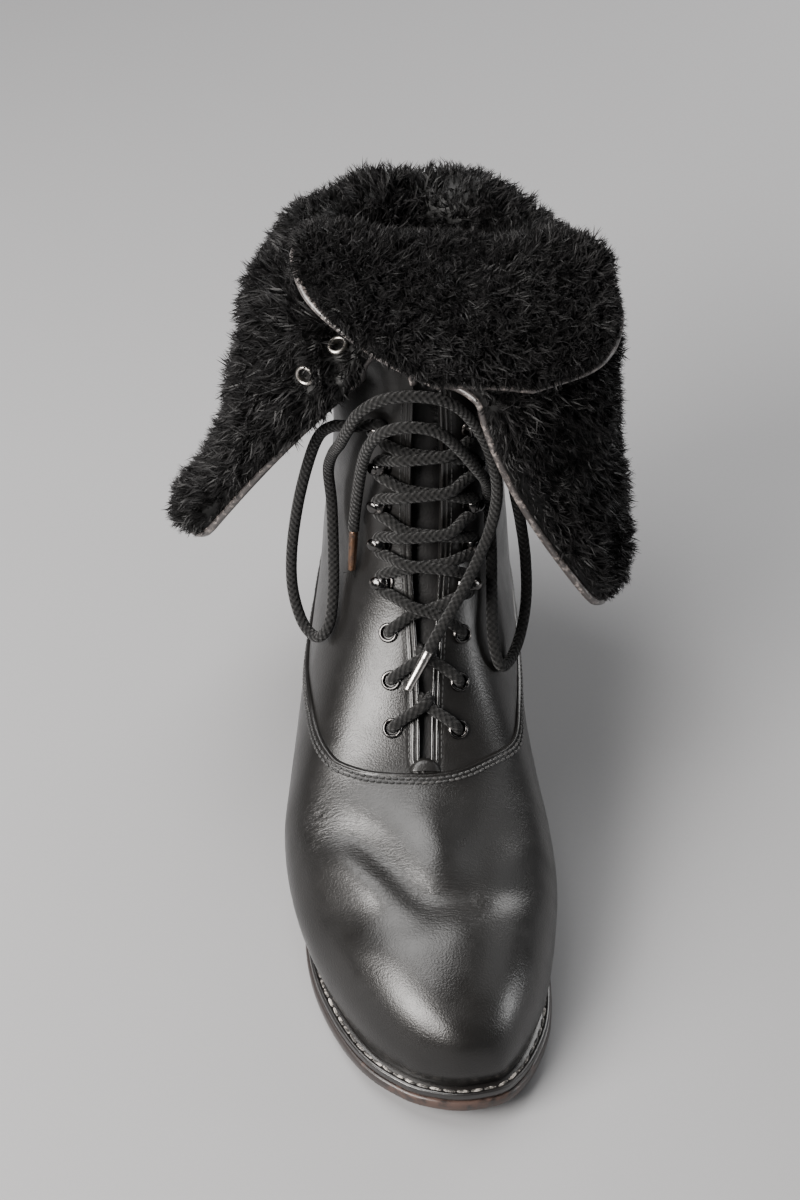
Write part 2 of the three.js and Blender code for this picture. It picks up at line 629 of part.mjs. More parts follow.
// A row of the tongue inside the boot, lying within the upper's wall.
function tongueInside(s) {
  const share = (s - TONGUE_START) / (SHAFT_TOP - TONGUE_START);
  const inset = WALL + mix(TONGUE_INSET.bottom, TONGUE_INSET.top, share ** 2);
  const spread = mix(TONGUE_SIDE.bottom, TONGUE_SIDE.top, share);
  return steps(TONGUE_COLUMNS).map((t) => {
    const turn = spread * (2 * t - 1);
    const side = Math.sign(turn) || 1;
    const edge = Math.max(Math.abs(turn), 0.03);
    const normal = lastNormal(s, side, edge);
    if (Math.abs(turn) < 0.03) normal.setX(0).normalize();
    return last(s, side, Math.abs(turn)).addScaledVector(normal, -inset);
  });
}

// A row of the tongue above the shaft.
function tongueOutside(at) {
  const get = (column) => read(TONGUE, column, at);
  return steps(TONGUE_COLUMNS).map((t) => {
    const u = 2 * t - 1;
    const x = get('half') * u;
    const y = get('y') + get('back') * u * u;
    return vec(get('x') + x, y, get('z') - get('down') * u * u - get('roll') * x);
  });
}

const FLAP_ROWS = steps(9).map((t) => t * (TONGUE.length - 1));

function tongue() {
  const rows = [...TONGUE_ROWS.map(tongueInside), ...FLAP_ROWS.map(tongueOutside)];
  return new Sheet().grid(rows).thicken(-TONGUE_THICK, 0);
}

// Fur

// A repeatable sequence of numbers from 0 to 1.
function sequence(seed) {
  let state = seed;
  return () => {
    state = (state * 16807) % 2147483647;
    return state / 2147483647;
  };
}

// A lock of fur: a slim four-sided spike standing on a point.
function lock(point, direction, length, width) {
  const spike = new THREE.ConeGeometry(width, length, 4, 1).rotateX(Math.PI / 2);
  spike.translate(0, 0, length / 2 - width);
  return solidOf(placed(spike, point, direction));
}

// A pile of fur on the inner face of a sheet, thin at its free edges, with locks fused on. Points that
// firstFree picks are on the edge where the pile begins, and keep its full depth.
function furOn(sheet, backing, firstFree, locks, seed) {
  const normals = sheet.normals();
  const edges = new Set(sheet.faces.flatMap(([a, b, c]) => [`${a} ${b}`, `${b} ${c}`, `${c} ${a}`]));
  const rim = new Set();
  for (const edge of edges) {
    const [a, b] = edge.split(' ').map(Number);
    if (!edges.has(`${b} ${a}`)) [a, b].forEach((k) => rim.add(k));
  }
  const next = sequence(seed);
  const thin = (k) => rim.has(k) && !firstFree(sheet.points[k]);
  const depth = sheet.points.map((_, k) => (thin(k) ? 2.4 : PILE * mix(0.8, 1.15, next())));
  let fur = solidOf(sheet.thicken((k) => -backing - FUR_SEAT - depth[k], -backing - FUR_SEAT));
  const inner = sheet.points.map((_, k) => k).filter((k) => !thin(k));
  for (let i = 0; i < locks; i++) {
    const k = inner[Math.floor(next() * inner.length)];
    const out = normals[k].clone().negate();
    const lean = vec(next() - 0.5, next() - 0.5, next() - 0.6).multiplyScalar(0.9);
    const foot = sheet.points[k].clone().addScaledVector(out, backing + FUR_SEAT + depth[k] - 1);
    fur = fur.add(lock(foot, out.add(lean).normalize(), mix(6, 9, next()), mix(2.2, 3.4, next())));
  }
  return fur;
}

const CREST = 1; // the cuff's row at the top of its fold, where its fur begins
function cuffFur() {
  const sheet = new Sheet();
  const rows = CUFF_ROWS.slice(CREST);
  for (const side of [1, -1]) sheet.grid(cuffRows(side, rows), side < 0);
  const onCrest = (p) => p.z > 205 && Math.abs(p.x) > 12;
  return furOn(sheet, WALL, onCrest, 34, 11);
}

function tongueFur() {
  const rows = FLAP_ROWS.slice(1).map((at) => {
    const points = tongueOutside(Math.min(at, TONGUE.length - 1.1));
    const middle = points[TONGUE_COLUMNS / 2];
    return points.map((p) => p.clone().lerp(middle, 0.03));
  });
  return geometryOfSolid(furOn(new Sheet().grid(rows), TONGUE_THICK, () => false, 18, 29));
}

// Colours and finishes
const finish = (color, roughness, metalness = 0) => (
  new THREE.MeshStandardMaterial({ color, roughness, metalness }));
const LEATHER = finish(0x17161a, 0.42);
const SOLE_LEATHER = finish(0x1c1513, 0.5);
const RUBBER = finish(0x101010, 0.8);
const FUR = finish(0x0c0b0d, 0.95);
const METAL = finish(0x1b1b1d, 0.25, 0.9);
const CORD = finish(0x1d1d1f, 0.9);
const TIP = finish(0x8a8278, 0.35, 1);
const LINING = finish(0x14110f, 0.9);

// Assembly
const boot = new THREE.Group();
function piece(name, geometry, material) {
  const mesh = new THREE.Mesh(geometry, material);
  mesh.name = name;
  boot.add(mesh);
}

const SIDES = [{ side: -1, word: 'lateral' }, { side: 1, word: 'medial' }];

let wall = solidOf(upperSheet().thicken(-WALL, 0)).add(galosh()).subtract(underFeather());
let pile = cuffFur();
const holeFor = (radius, { point, normal }) => {
  const bit = new THREE.CylinderGeometry(radius, radius, 24, 8).rotateX(Math.PI / 2);
  return solidOf(placed(bit, point, normal));
};
for (const { side, word } of SIDES) {
  EYELET_ROWS.forEach((along, i) => {
    const seat = besideThroat(along, side, EYELET.fromEdge);
    wall = wall.subtract(holeFor(EYELET.barrel + GAP, seat));
    piece(`eyelet_${word}_${i + 1}`, placed(eyeletRing(), seat.point, seat.normal), METAL);
  });
  HOOK_ROWS.forEach((along, i) => piece(`hook_${word}_${i + 1}`, hookPlaced(along, side), METAL));
  CUFF_EYELETS.forEach(({ down, fromFront }, i) => {
    const seat = onCuff(side < 0 ? fromFront : 1 - fromFront, down);
    seat.point.addScaledVector(seat.normal, WALL);
    wall = wall.subtract(holeFor(EYELET.barrel + GAP, seat));
    pile = pile.subtract(holeFor(EYELET.flange + 1, seat));
    piece(`cuff_eyelet_${word}_${i + 1}`, placed(eyeletRing(), seat.point, seat.normal), METAL);
  });
}
piece('upper', geometryOfSolid(wall), LEATHER);
piece('tongue', tongue(), LEATHER);
// A hole near the pile's edge can cut a crumb of it loose, which is left out.
const [wholePile] = pile.decompose().sort((a, b) => b.volume() - a.volume());
piece('cuff_fur', geometryOfSolid(wholePile), FUR);
piece('tongue_fur', tongueFur(), FUR);
piece('insole', insole(), LINING);
piece('welt', welt(), SOLE_LEATHER);
piece('outsole', outsole(), SOLE_LEATHER);
piece('heel_stack', heelStack(), SOLE_LEATHER);
piece('heel_lift', heelLift(), RUBBER);
CROSSINGS.forEach((crossed, i) => piece(`lace_crossing_${i + 1}`, crossing3d(crossed), CORD));
piece('lace_end_lateral', freeEnd(LATERAL_END), CORD);
piece('lace_end_medial', freeEnd(MEDIAL_END), CORD);
piece('aglet_lateral', aglet(LATERAL_END), TIP);
piece('aglet_medial', aglet(MEDIAL_END), TIP);

export default boot;
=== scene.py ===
import json
import math

import bpy
import numpy as np
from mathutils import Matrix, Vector

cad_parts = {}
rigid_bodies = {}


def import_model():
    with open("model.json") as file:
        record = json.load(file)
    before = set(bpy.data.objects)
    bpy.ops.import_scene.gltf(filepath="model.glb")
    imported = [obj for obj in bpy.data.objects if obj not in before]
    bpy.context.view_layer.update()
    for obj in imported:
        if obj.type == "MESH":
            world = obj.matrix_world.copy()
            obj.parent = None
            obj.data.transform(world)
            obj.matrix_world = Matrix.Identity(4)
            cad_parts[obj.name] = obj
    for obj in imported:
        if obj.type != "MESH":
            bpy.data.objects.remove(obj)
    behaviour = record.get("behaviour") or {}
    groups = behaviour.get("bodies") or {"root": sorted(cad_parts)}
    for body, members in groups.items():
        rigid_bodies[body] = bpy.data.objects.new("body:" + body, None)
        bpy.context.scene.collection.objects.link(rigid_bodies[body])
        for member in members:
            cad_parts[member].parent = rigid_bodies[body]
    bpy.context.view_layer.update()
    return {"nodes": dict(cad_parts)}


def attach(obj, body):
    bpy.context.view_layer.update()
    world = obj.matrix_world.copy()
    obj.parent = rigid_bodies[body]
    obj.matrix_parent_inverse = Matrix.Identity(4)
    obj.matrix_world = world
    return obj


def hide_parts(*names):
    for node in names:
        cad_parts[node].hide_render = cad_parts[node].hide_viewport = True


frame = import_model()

mm = 0.001
scene = bpy.context.scene

# camera and light

view = {"look": (-0.010, -0.097, 0.119), "distance": 0.9, "elevation": 43, "fieldOfView": 29.5}
stage = {"floorTone": (0.235, 0.235, 0.240), "floorReach": 6.0, "worldTone": (0.32, 0.33, 0.35), "worldStrength": 0.26}
lamps = {  # place, aim, width, height, watts, tone
    "keyBox": ((-0.80, -0.72, 0.80), (0.0, -0.21, 0.05), 0.80, 0.60, 52.0, (1.0, 0.965, 0.93)),
    "topBox": ((-0.36, 0.12, 1.14), (0.0, -0.12, 0.10), 0.80, 0.80, 21.0, (1.0, 0.985, 0.97)),
    "sideStrip": ((1.0, -0.27, 0.24), (0.02, -0.20, 0.05), 0.14, 0.36, 2.6, (1.0, 1.0, 1.0)),
    "backBox": ((0.66, 0.90, 0.60), (0.0, -0.02, 0.11), 0.80, 0.80, 14.0, (1.0, 0.99, 0.98)),
    "fillBox": ((0.94, 0.02, 0.96), (0.0, -0.10, 0.10), 0.70, 0.70, 2.0, (1.0, 1.0, 1.0)),
}


def addCamera():
    data = bpy.data.cameras.new("studioCamera")
    data.sensor_fit = "AUTO"
    data.angle = math.radians(view["fieldOfView"])
    data.clip_start, data.clip_end = 0.01, 50
    item = bpy.data.objects.new("studioCamera", data)
    tilt, reach = math.radians(view["elevation"]), view["distance"]
    lookX, lookY, lookZ = view["look"]
    item.location = (lookX, lookY - reach * math.cos(tilt), lookZ + reach * math.sin(tilt))
    item.rotation_euler = (math.pi / 2 - tilt, 0, 0)
    scene.collection.objects.link(item)
    scene.camera = item


def addLamps():
    for name, (place, aim, wide, high, watts, tone) in lamps.items():
        data = bpy.data.lights.new(name, "AREA")
        data.shape, data.size, data.size_y, data.energy, data.color = "RECTANGLE", wide, high, watts, tone
        item = bpy.data.objects.new(name, data)
        item.location = place
        item.rotation_euler = (Vector(aim) - Vector(place)).to_track_quat("-Z", "Y").to_euler()
        scene.collection.objects.link(item)
    world = bpy.data.worlds.new("studioAir")
    world.use_nodes = True
    air = world.node_tree.nodes["Background"]
    air.inputs["Color"].default_value = (*stage["worldTone"], 1)
    air.inputs["Strength"].default_value = stage["worldStrength"]
    scene.world = world


addCamera()
addLamps()
print("camera and lamps placed")

# the boot's own sizes, in millimetres: +X medial, -Y toe, +Z up


def tableOf(columns, rows):
    return {name: np.array([row[i] for row in rows], float) for i, name in enumerate(columns.split())}


lastTable = tableOf("topY topZ lowY lowZ medial lateral swing widest topFull lowFull gap", [
    (-252.5, 18.6, -252.5, 18.6, 0, 0, 13, 0.5, 2.1, 2.1, 0),  # toe point
    (-253, 27.5, -250, 10, 12.5, 12.5, 12.5, 0.5, 2.1, 2.1, 0),
    (-249, 39, -245, 2, 20, 20, 11, 0.48, 2.15, 2.1, 0),
    (-237, 48, -236, -3, 29, 29, 8.5, 0.46, 2.2, 2.1, 0),  # toe box
    (-217, 54.5, -219, -4, 39, 39, 6, 0.45, 2.2, 2.1, 0),
    (-192, 59, -196, -3, 46.5, 48, 3, 0.45, 2.2, 2.1, 0),
    (-168, 64, -172, -1, 50.5, 53.5, 1, 0.46, 2.2, 2.1, 0),  # ball
    (-146, 72.2, -148, 1, 49.5, 55.5, 0, 0.46, 2.15, 2.1, 2.2),  # vamp point
    (-130, 85, -122, 4, 45.5, 54, 0, 0.43, 2.1, 2.15, 2.5),
    (-116, 100, -88, 9, 41.5, 51.5, 0, 0.41, 2.05, 2.2, 3.2),
    (-104.5, 114, -50, 15, 39.5, 49, 0, 0.42, 2, 2.3, 4.2),
    (-96, 128, -10, 18, 38.5, 46.5, 0, 0.44, 2, 2.4, 5.2),
    (-90, 140, 29.5, 22, 37, 44, 0, 0.45, 2, 2.5, 5.8),  # heel seat
    (-86, 151, 38, 54, 35, 42, 0, 0.47, 2.05, 2.5, 6),
    (-83, 162, 37.5, 84, 33, 39.5, 0, 0.49, 2.1, 2.45, 6),
    (-81, 172.5, 32, 113, 31.5, 37.5, 0, 0.5, 2.1, 2.4, 6),
    (-79.5, 183, 29, 141, 31, 37, 0, 0.5, 2.15, 2.3, 5.8),
    (-77.5, 195, 30.5, 172, 32, 37.5, 0, 0.5, 2.2, 2.3, 5.4),
    (-75, 206, 34, 203, 34, 38.5, 0, 0.5, 2.2, 2.2, 5),  # shaft top
])
cuffTable = tableOf("shoulderX shoulderY shoulderUp crestUp straight hemX hemY hemZ", [
    (-24, -76, 8, 13, 1.15, -92, -55, 111),  # lateral front edge
    (-50, -66, 3, 12, 0.7, -97, -35, 114),
    (-60, -22, 0, 11, 0, -82, -6, 115),
    (-48, 28, 0, 14, 0, -60, 38, 115),
    (0, 47, 0, 16, 0, 0, 60, 115),  # back
    (39, 32, 0, 10, 0, 59, 36, 113),
    (64, -22, 0, 9, 0, 72, -8, 108),
    (56, -67, 0, 8, 0.2, 75, -50, 101),
    (20, -86, 0, 4, 0.4, 72, -90, 102),  # medial front edge
])
tongueTable = tableOf("x y z half back down roll", [
    (1, -61, 222, 38, 22, 0, 0),  # above the lacing
    (4, -54, 237, 46, 14, 2, 0.03),
    (7, -52, 248, 54, 8, 4, 0.06),
    (9, -61, 252.5, 58, 5, 5, 0.08),  # the fold
    (14, -77, 246, 56.5, 4, 6, 0.09),
    (20.5, -90, 235, 41.5, 2, 4, 0.08),
    (20.5, -98, 226, 17.5, 0, 1, 0.06),  # front edge
])
seamLine = [  # y and height of the vamp's edge along the sides
    (-160, 40), (-146, 54), (-139, 62), (-132, 67), (-124, 69.8), (-110, 70.6), (-96, 69.5), (-60, 67), (-20, 65.5),
    (20, 66), (60, 68)]
seamFront = {  # distance from the middle and y of the same edge across the front
    "medial": [(-10, -146.6), (0, -146.6), (7, -145.8), (13.6, -143.9), (20, -140.6), (29.7, -133.8), (35.9, -126.4),
               (38.6, -117), (41, -96)],
    "lateral": [(-10, -146.6), (0, -146.6), (8, -146.3), (14, -145.7), (23, -143.6), (32, -139.2), (36.8, -134.8),
                (42, -125.2), (45.5, -108), (48, -88)]}
body = {"wall": 2.4, "gap": 0.3, "vampPoint": 7, "shaftTop": 18, "throatOpens": 0.22, "seamBlend": 0.4}
nose = {"round": 1.9, "middle": 12.6, "spread": 9.5, "from": -238, "over": 12}  # fills out the tip of the toe
cuff = {"foldShare": 0.34, "cornerSpan": 0.075, "cornerCut": 12, "bulge": 0.42}
sole = {"outsole": 5.5, "welt": 4.2, "heelHeight": 26, "lift": 6.5, "breast": -35, "treadFront": -188,
        "treadBack": -146, "spring": 8, "springPower": 1.8, "toeEnd": -260, "reachToe": 5.6, "reachWaist": 3.4,
        "reachHeel": 3.2}


def readColumn(table, column, at):  # a smooth curve through a table's column
    value = table[column]
    at = np.asarray(at, float)
    i = np.clip(np.floor(at).astype(int), 0, len(value) - 2)
    t = at - i
    padded = np.concatenate([[2 * value[0] - value[1]], value, [2 * value[-1] - value[-2]]])
    a, b, c, d = padded[i], padded[i + 1], padded[i + 2], padded[i + 3]
    slopeB, slopeC = (c - a) / 2, (d - b) / 2
    bend = 2 * (b - c) + slopeB + slopeC
    return b + slopeB * t + (3 * (c - b) - 2 * slopeB - slopeC) * t * t + bend * t ** 3


def mix(a, b, t):
    return a + (b - a) * t


def smooth(t):
    t = np.clip(t, 0, 1)
    return t * t * (3 - 2 * t)


def unit(v):
    return v / np.maximum(np.linalg.norm(v, axis=-1, keepdims=True), 1e-9)


def crossingOf(falls, low, high):  # where a falling value passes zero, by halving
    low, high = low.astype(float), high.astype(float)
    for _ in range(40):
        middle = (low + high) / 2
        over = falls(middle) > 0
        low, high = np.where(over, middle, low), np.where(over, high, middle)
    return (low + high) / 2


def sectionWhere(falls, low, high):
    return float(crossingOf(falls, np.array([low]), np.array([high]))[0])


def goneAlong(line):  # how far each point of a line is from its start
    return np.concatenate([[0], np.cumsum(np.linalg.norm(np.diff(line, axis=0), axis=1))])


def lengthOf(line):
    return float(np.linalg.norm(np.diff(line, axis=0), axis=1).sum())


def evenly(line, count):
    gone = goneAlong(line)
    at = np.linspace(0, gone[-1], count)
    return np.stack([np.interp(at, gone, line[:, k]) for k in range(line.shape[1])], 1)


def curveThrough(points, count):  # a smooth line through points, evenly spaced
    points = np.asarray(points, float)
    table = {str(k): points[:, k] for k in range(points.shape[1])}
    at = np.linspace(0, len(points) - 1, 40 * len(points))
    return evenly(np.stack([readColumn(table, key, at) for key in table], 1), count)


def distanceTo(points, marks):
    return np.array([np.linalg.norm(marks - p, axis=1).min() for p in points])


def nearestIn(points, marks):
    return np.array([np.linalg.norm(marks - p, axis=1).argmin() for p in points])


def swell(away, rise, at, spread):  # the height of a low rounded ridge
    return rise * np.exp(-((away - at) / spread) ** 2)


def soleUnder(y):
    arch = sole["heelHeight"] * smooth((sole["treadBack"] - y) / (sole["treadBack"] - sole["breast"]))
    toe = np.clip((sole["treadFront"] - y) / (sole["treadFront"] - sole["toeEnd"]), 0, 2)
    front = np.where(y > sole["treadBack"], arch, sole["spring"] * toe ** sole["springPower"])
    return np.where(y > sole["breast"], sole["heelHeight"], front)


def featherLine(y):  # the height where the upper meets the welt
    return soleUnder(y) + sole["outsole"] + sole["welt"] + 2 * body["gap"]


def lastPoint(s, side, turn):  # section along the foot, side, and turn from the top (0) to the bottom (1)
    s, side, turn = np.broadcast_arrays(*(np.asarray(v, float) for v in (s, side, turn)))
    get = lambda column: readColumn(lastTable, column, s)
    along, across = np.cos(np.pi * turn), np.clip(np.sin(np.pi * turn), 0, 1)
    power = 2 / np.where(along > 0, get("topFull"), get("lowFull"))
    reach = np.sign(along) * np.abs(along) ** power
    widest = get("widest")
    share = widest + np.where(reach > 0, (1 - widest) * reach, widest * reach)
    half = np.where(side > 0, get("medial"), get("lateral"))
    x = get("swing") + side * across ** power * half
    y = mix(get("lowY"), get("topY"), share)
    y = y - swell(x, nose["round"], nose["middle"], nose["spread"]) * smooth((nose["from"] - y) / nose["over"])
    return np.stack([x, y, mix(get("lowZ"), get("topZ"), share)], -1)


def lastNormal(s, side, turn):
    small = 0.02
    alongS = lastPoint(s + small, side, turn) - lastPoint(s - small, side, turn)
    alongTurn = lastPoint(s, side, turn + small) - lastPoint(s, side, turn - small)
    return unit(np.cross(alongTurn, alongS) * np.asarray(side)[..., None])


def featherTurn(s, below=0.0):
    s = np.asarray(s, float)

    def above(turn):
        p = lastPoint(s, 1, turn)
        return p[..., 2] - featherLine(p[..., 1]) + below
    return np.where(above(np.ones_like(s)) > 0, 1.0, crossingOf(above, np.zeros_like(s), np.ones_like(s)))


def turnAt(s, side, distance):
    s = np.asarray(s, float)
    inside = lambda turn: distance - np.abs(lastPoint(s, side, turn)[..., 0] - readColumn(lastTable, "swing", s))
    return crossingOf(inside, np.zeros_like(s), np.full_like(s, 0.5))


def throatGap(s):
    return readColumn(lastTable, "gap", s) * np.sqrt(np.clip((s - body["vampPoint"]) / body["throatOpens"], 0, 1))


def throatTurn(s, side):
    return np.where(s <= body["vampPoint"], 0.0, turnAt(s, side, throatGap(s)))


seamCurve = curveThrough(seamLine, 400)
frontCurve = {side: curveThrough(points, 300) for side, points in seamFront.items()}


def seamTurn(s, side, tuck=0.0):  # where a section meets the vamp's edge, or a line tucked under it
    s = np.asarray(s, float)
    end = featherTurn(s)
    front, blend = frontCurve["medial" if side > 0 else "lateral"], body["seamBlend"]

    def above(turn):
        p = lastPoint(s, side, turn)
        overSide = p[..., 2] + tuck - np.interp(p[..., 1] + tuck, seamCurve[:, 0], seamCurve[:, 1])
        behind = p[..., 1] + tuck - np.interp(np.abs(p[..., 0]), front[:, 0], front[:, 1])
        return -np.logaddexp(-blend * overSide, -blend * behind) / blend
    turn = crossingOf(above, np.zeros_like(s), end)
    return np.where(above(np.zeros_like(s)) < 0, 0.0, np.where(above(end) > 0, end, turn))


seamStart = sectionWhere(lambda s: 1e-9 - seamTurn(s, 1.0), 6.0, 7.4)  # the vamp's edge crosses the front here
seamEnd = sectionWhere(lambda s: 0.9995 - seamTurn(s, 1.0), 12.6, 13.6)  # and the back here


def cuffPoint(around, down):  # around from the lateral front edge (0), down from the shaft's top (0) to the hem (1)
    around, down = np.broadcast_arrays(np.asarray(around, float), np.asarray(down, float))
    get = lambda column: readColumn(cuffTable, column, around * (len(cuffTable["hemX"]) - 1))
    side = np.where(around < 0.5, -1.0, 1.0)
    top = np.full(around.shape, float(body["shaftTop"]))
    base = lastPoint(top, side, mix(throatTurn(top, side), 1, 1 - np.abs(2 * around - 1)))
    fromEdge = np.minimum(around, 1 - around) / cuff["cornerSpan"]
    corner = cuff["cornerCut"] * (1 - np.sqrt(np.clip(1 - (1 - fromEdge) ** 2, 0, 1)))
    corner = np.where(fromEdge < 1, corner, 0)
    hem = np.stack([get("hemX"), get("hemY"), get("hemZ")], -1)
    shoulder = np.stack([get("shoulderX"), get("shoulderY"), base[..., 2] + get("shoulderUp")], -1)
    fold = cuff["foldShare"]
    angle = np.pi * np.clip(down / fold, 0, 1)
    over = mix(base, shoulder, ((1 - np.cos(angle)) / 2)[..., None])
    over[..., 2] += get("crestUp") * np.sin(angle)
    bulge = mix(shoulder, hem, (cuff["bulge"] * get("straight"))[..., None])
    bulge[..., 2] = mix(shoulder[..., 2], hem[..., 2], cuff["bulge"])
    t = np.clip((down - fold) / (1 - fold), 0, 1) * (1 - corner / np.linalg.norm(hem - shoulder, axis=-1))
    t = t[..., None]
    fall = shoulder * (1 - t) ** 2 + bulge * 2 * t * (1 - t) + hem * t * t
    return np.where((down < fold)[..., None], over, fall)


def cuffNormal(around, down):  # towards the leather side
    small = 0.006
    around, down = np.clip(around, small, 1 - small), np.clip(down, small, 1 - small)
    falling = cuffPoint(around, down + small) - cuffPoint(around, down - small)
    return unit(np.cross(falling, cuffPoint(around + small, down) - cuffPoint(around - small, down)))


def shaftAndCuff(side, rows, last, share, downs):  # a grid over the shaft's sections and on over the turned cuff
    first = throatTurn(rows, side)
    last = np.maximum(last, first + 0.002)
    shaft = lastPoint(rows[:, None], side, first[:, None] + (last - first)[:, None] * share)
    around = share / 2 if side < 0 else 1 - share / 2
    return np.concatenate([shaft, cuffPoint(around[None, :], downs[:, None])])


profileAt = np.linspace(body["vampPoint"], body["shaftTop"], 800)
profileGone = goneAlong(np.stack([readColumn(lastTable, column, profileAt) for column in ("topY", "topZ")], 1))


def besideThroat(along, side, fromEdge, lift=0.0):  # on the quarters, by distances up the front and from the edge
    s = np.atleast_1d(np.interp(along, profileGone, profileAt))
    side = np.broadcast_to(np.asarray(side, float), s.shape)
    turn = turnAt(s, side, readColumn(lastTable, "gap", s) + fromEdge)
    normal = lastNormal(s, side, turn)
    return lastPoint(s, side, turn) + normal * np.atleast_1d(lift)[:, None], normal


# meshes from points and faces


def sheetFrom(grids):  # welds grids of points into one open sheet
    points, faces, start = [], [], 0
    for grid, flip in grids:
        rows, columns = grid.shape[:2]
        ids = np.arange(rows * columns).reshape(rows, columns) + start
        quads = np.stack([ids[:-1, :-1], ids[:-1, 1:], ids[1:, 1:], ids[1:, :-1]], -1).reshape(-1, 4)
        faces.append(quads[:, ::-1] if flip else quads)
        points.append(grid.reshape(-1, 3))
        start += rows * columns
    points, faces = np.concatenate(points), np.concatenate(faces)
    _, first, back = np.unique(np.round(points, 2), axis=0, return_index=True, return_inverse=True)
    return points[first], back.reshape(-1)[faces]


def sheetNormals(points, faces):
    a, b, c, d = (points[faces[:, k]] for k in range(4))
    area = np.cross(c - a, d - b)
    found = np.zeros_like(points)
    for k in range(4):
        np.add.at(found, faces[:, k], area)
    return unit(found)


def closeShell(outer, inner, faces):  # two copies of a sheet, joined by walls along its rim
    count = len(outer)
    edges = np.concatenate([np.stack([faces[:, k], faces[:, (k + 1) % 4]], 1) for k in range(4)])
    edges = edges[edges[:, 0] != edges[:, 1]]
    rim = edges[~np.isin(edges[:, 0] * count + edges[:, 1], edges[:, 1] * count + edges[:, 0])]
    walls = np.stack([rim[:, 1], rim[:, 0], rim[:, 0] + count, rim[:, 1] + count], 1)
    return np.concatenate([outer, inner]), np.concatenate([faces, faces[:, ::-1] + count, walls])


def shellOf(points, faces, high, low):  # a closed wall between the sheet moved to two heights along its normals
    normals = sheetNormals(points, faces)
    high, low = (np.broadcast_to(np.asarray(v, float), (len(points),))[:, None] for v in (high, low))
    return closeShell(points + normals * high, points + normals * low, faces)


def innerSlots(faces, shell):  # the second material on a shell's inner face
    return np.repeat([0, 1, 0], [len(faces), len(faces), len(shell) - 2 * len(faces)])


def ringFaces(ids):  # quads between rings of point numbers, each ring closed on itself
    after = np.roll(ids, -1, 1)
    return np.stack([ids[:-1], after[:-1], after[1:], ids[1:]], -1).reshape(-1, 4)


def cappedRings(rings, ends):  # rings of points in a row, drawn to a point at each end
    count, sides = rings.shape[:2]
    ids = np.arange(count * sides).reshape(count, sides)
    after = np.roll(ids, -1, 1)
    fans = [np.stack([one, two, np.full(sides, tip), np.full(sides, tip)], 1) for one, two, tip in (
        (after[0], ids[0], count * sides), (ids[-1], after[-1], count * sides + 1))]
    return np.concatenate([rings.reshape(-1, 3), ends]), np.concatenate([ringFaces(ids), *fans])


def tubeOf(line, radius, sides):  # a round tube along a line, its radius one value or one for each point
    line = np.asarray(line, float)
    tangent = unit(np.gradient(line, axis=0))
    across = np.zeros_like(line)
    across[0] = unit(np.cross(tangent[0], (0.3, 0.2, 1.0)))
    for k in range(1, len(line)):
        across[k] = unit(across[k - 1] - tangent[k] * (across[k - 1] @ tangent[k]))
    other = np.cross(tangent, across)
    angle = np.linspace(0, 2 * np.pi, sides, endpoint=False)[:, None]
    radius = np.broadcast_to(np.asarray(radius, float), (len(line),))[:, None, None]
    rings = line[:, None] + radius * (across[:, None] * np.cos(angle) + other[:, None] * np.sin(angle))
    return cappedRings(rings, line[[0, -1]])


def stackOf(rings, wrapped=False, fromMiddle=True):  # a solid from closed rings, the first at the top
    count, size = len(rings), len(rings[0])
    ids = np.arange(count * size).reshape(count, size)
    faces = [ringFaces(np.concatenate([ids, ids[:1]]) if wrapped else ids)[:, [0, 3, 2, 1]]]
    if not wrapped:  # caps join each point to the one across from it
        skip = 0 if fromMiddle else 1
        k = np.arange(size // 2 - skip)
        cap = np.stack([k, k + 1, (size - k - 1 - skip) % size, (size - k - skip) % size], 1)
        faces += [cap, cap[:, ::-1] + (count - 1) * size]
    return np.concatenate(rings), np.concatenate(faces)


def latheOf(profile, sides):  # a ring turned from a closed profile of radius and height
    profile = np.asarray(profile, float)
    angle = np.linspace(0, 2 * np.pi, sides, endpoint=False)
    radius, height = profile[:, None, 0], profile[:, None, 1]
    points = np.stack([radius * np.cos(angle), radius * np.sin(angle), height + 0 * angle], -1)
    ids = np.arange(len(profile) * sides).reshape(len(profile), sides)
    return points.reshape(-1, 3), ringFaces(np.concatenate([ids, ids[:1]]))


def capsuleOf(length, wide, high, sides=6):  # a stitch: a short round-ended bar lying along x
    stops = np.array([-0.5, -0.44, -0.28, 0.0, 0.28, 0.44, 0.5])
    girth = np.array([0.12, 0.62, 0.95, 1.0, 0.95, 0.62, 0.12])
    points, faces = tubeOf(np.outer(stops * length, (1.0, 0.0, 0.0)), girth, sides)
    return points * (1, wide / 2, high / 2), faces


def joined(parts):  # several points-and-faces pairs as one
    points, faces, start = [], [], 0
    for p, f in parts:
        points.append(p)
        faces.append(np.asarray(f) + start)
        start += len(p)
    return np.concatenate(points), np.concatenate(faces)


def alongLine(line, pitch):  # even places on a line with their directions
    count = max(2, int(round(lengthOf(line) / pitch)))
    line = evenly(line, 2 * count + 1)
    return line[1::2], unit(line[2::2] - line[:-1:2])


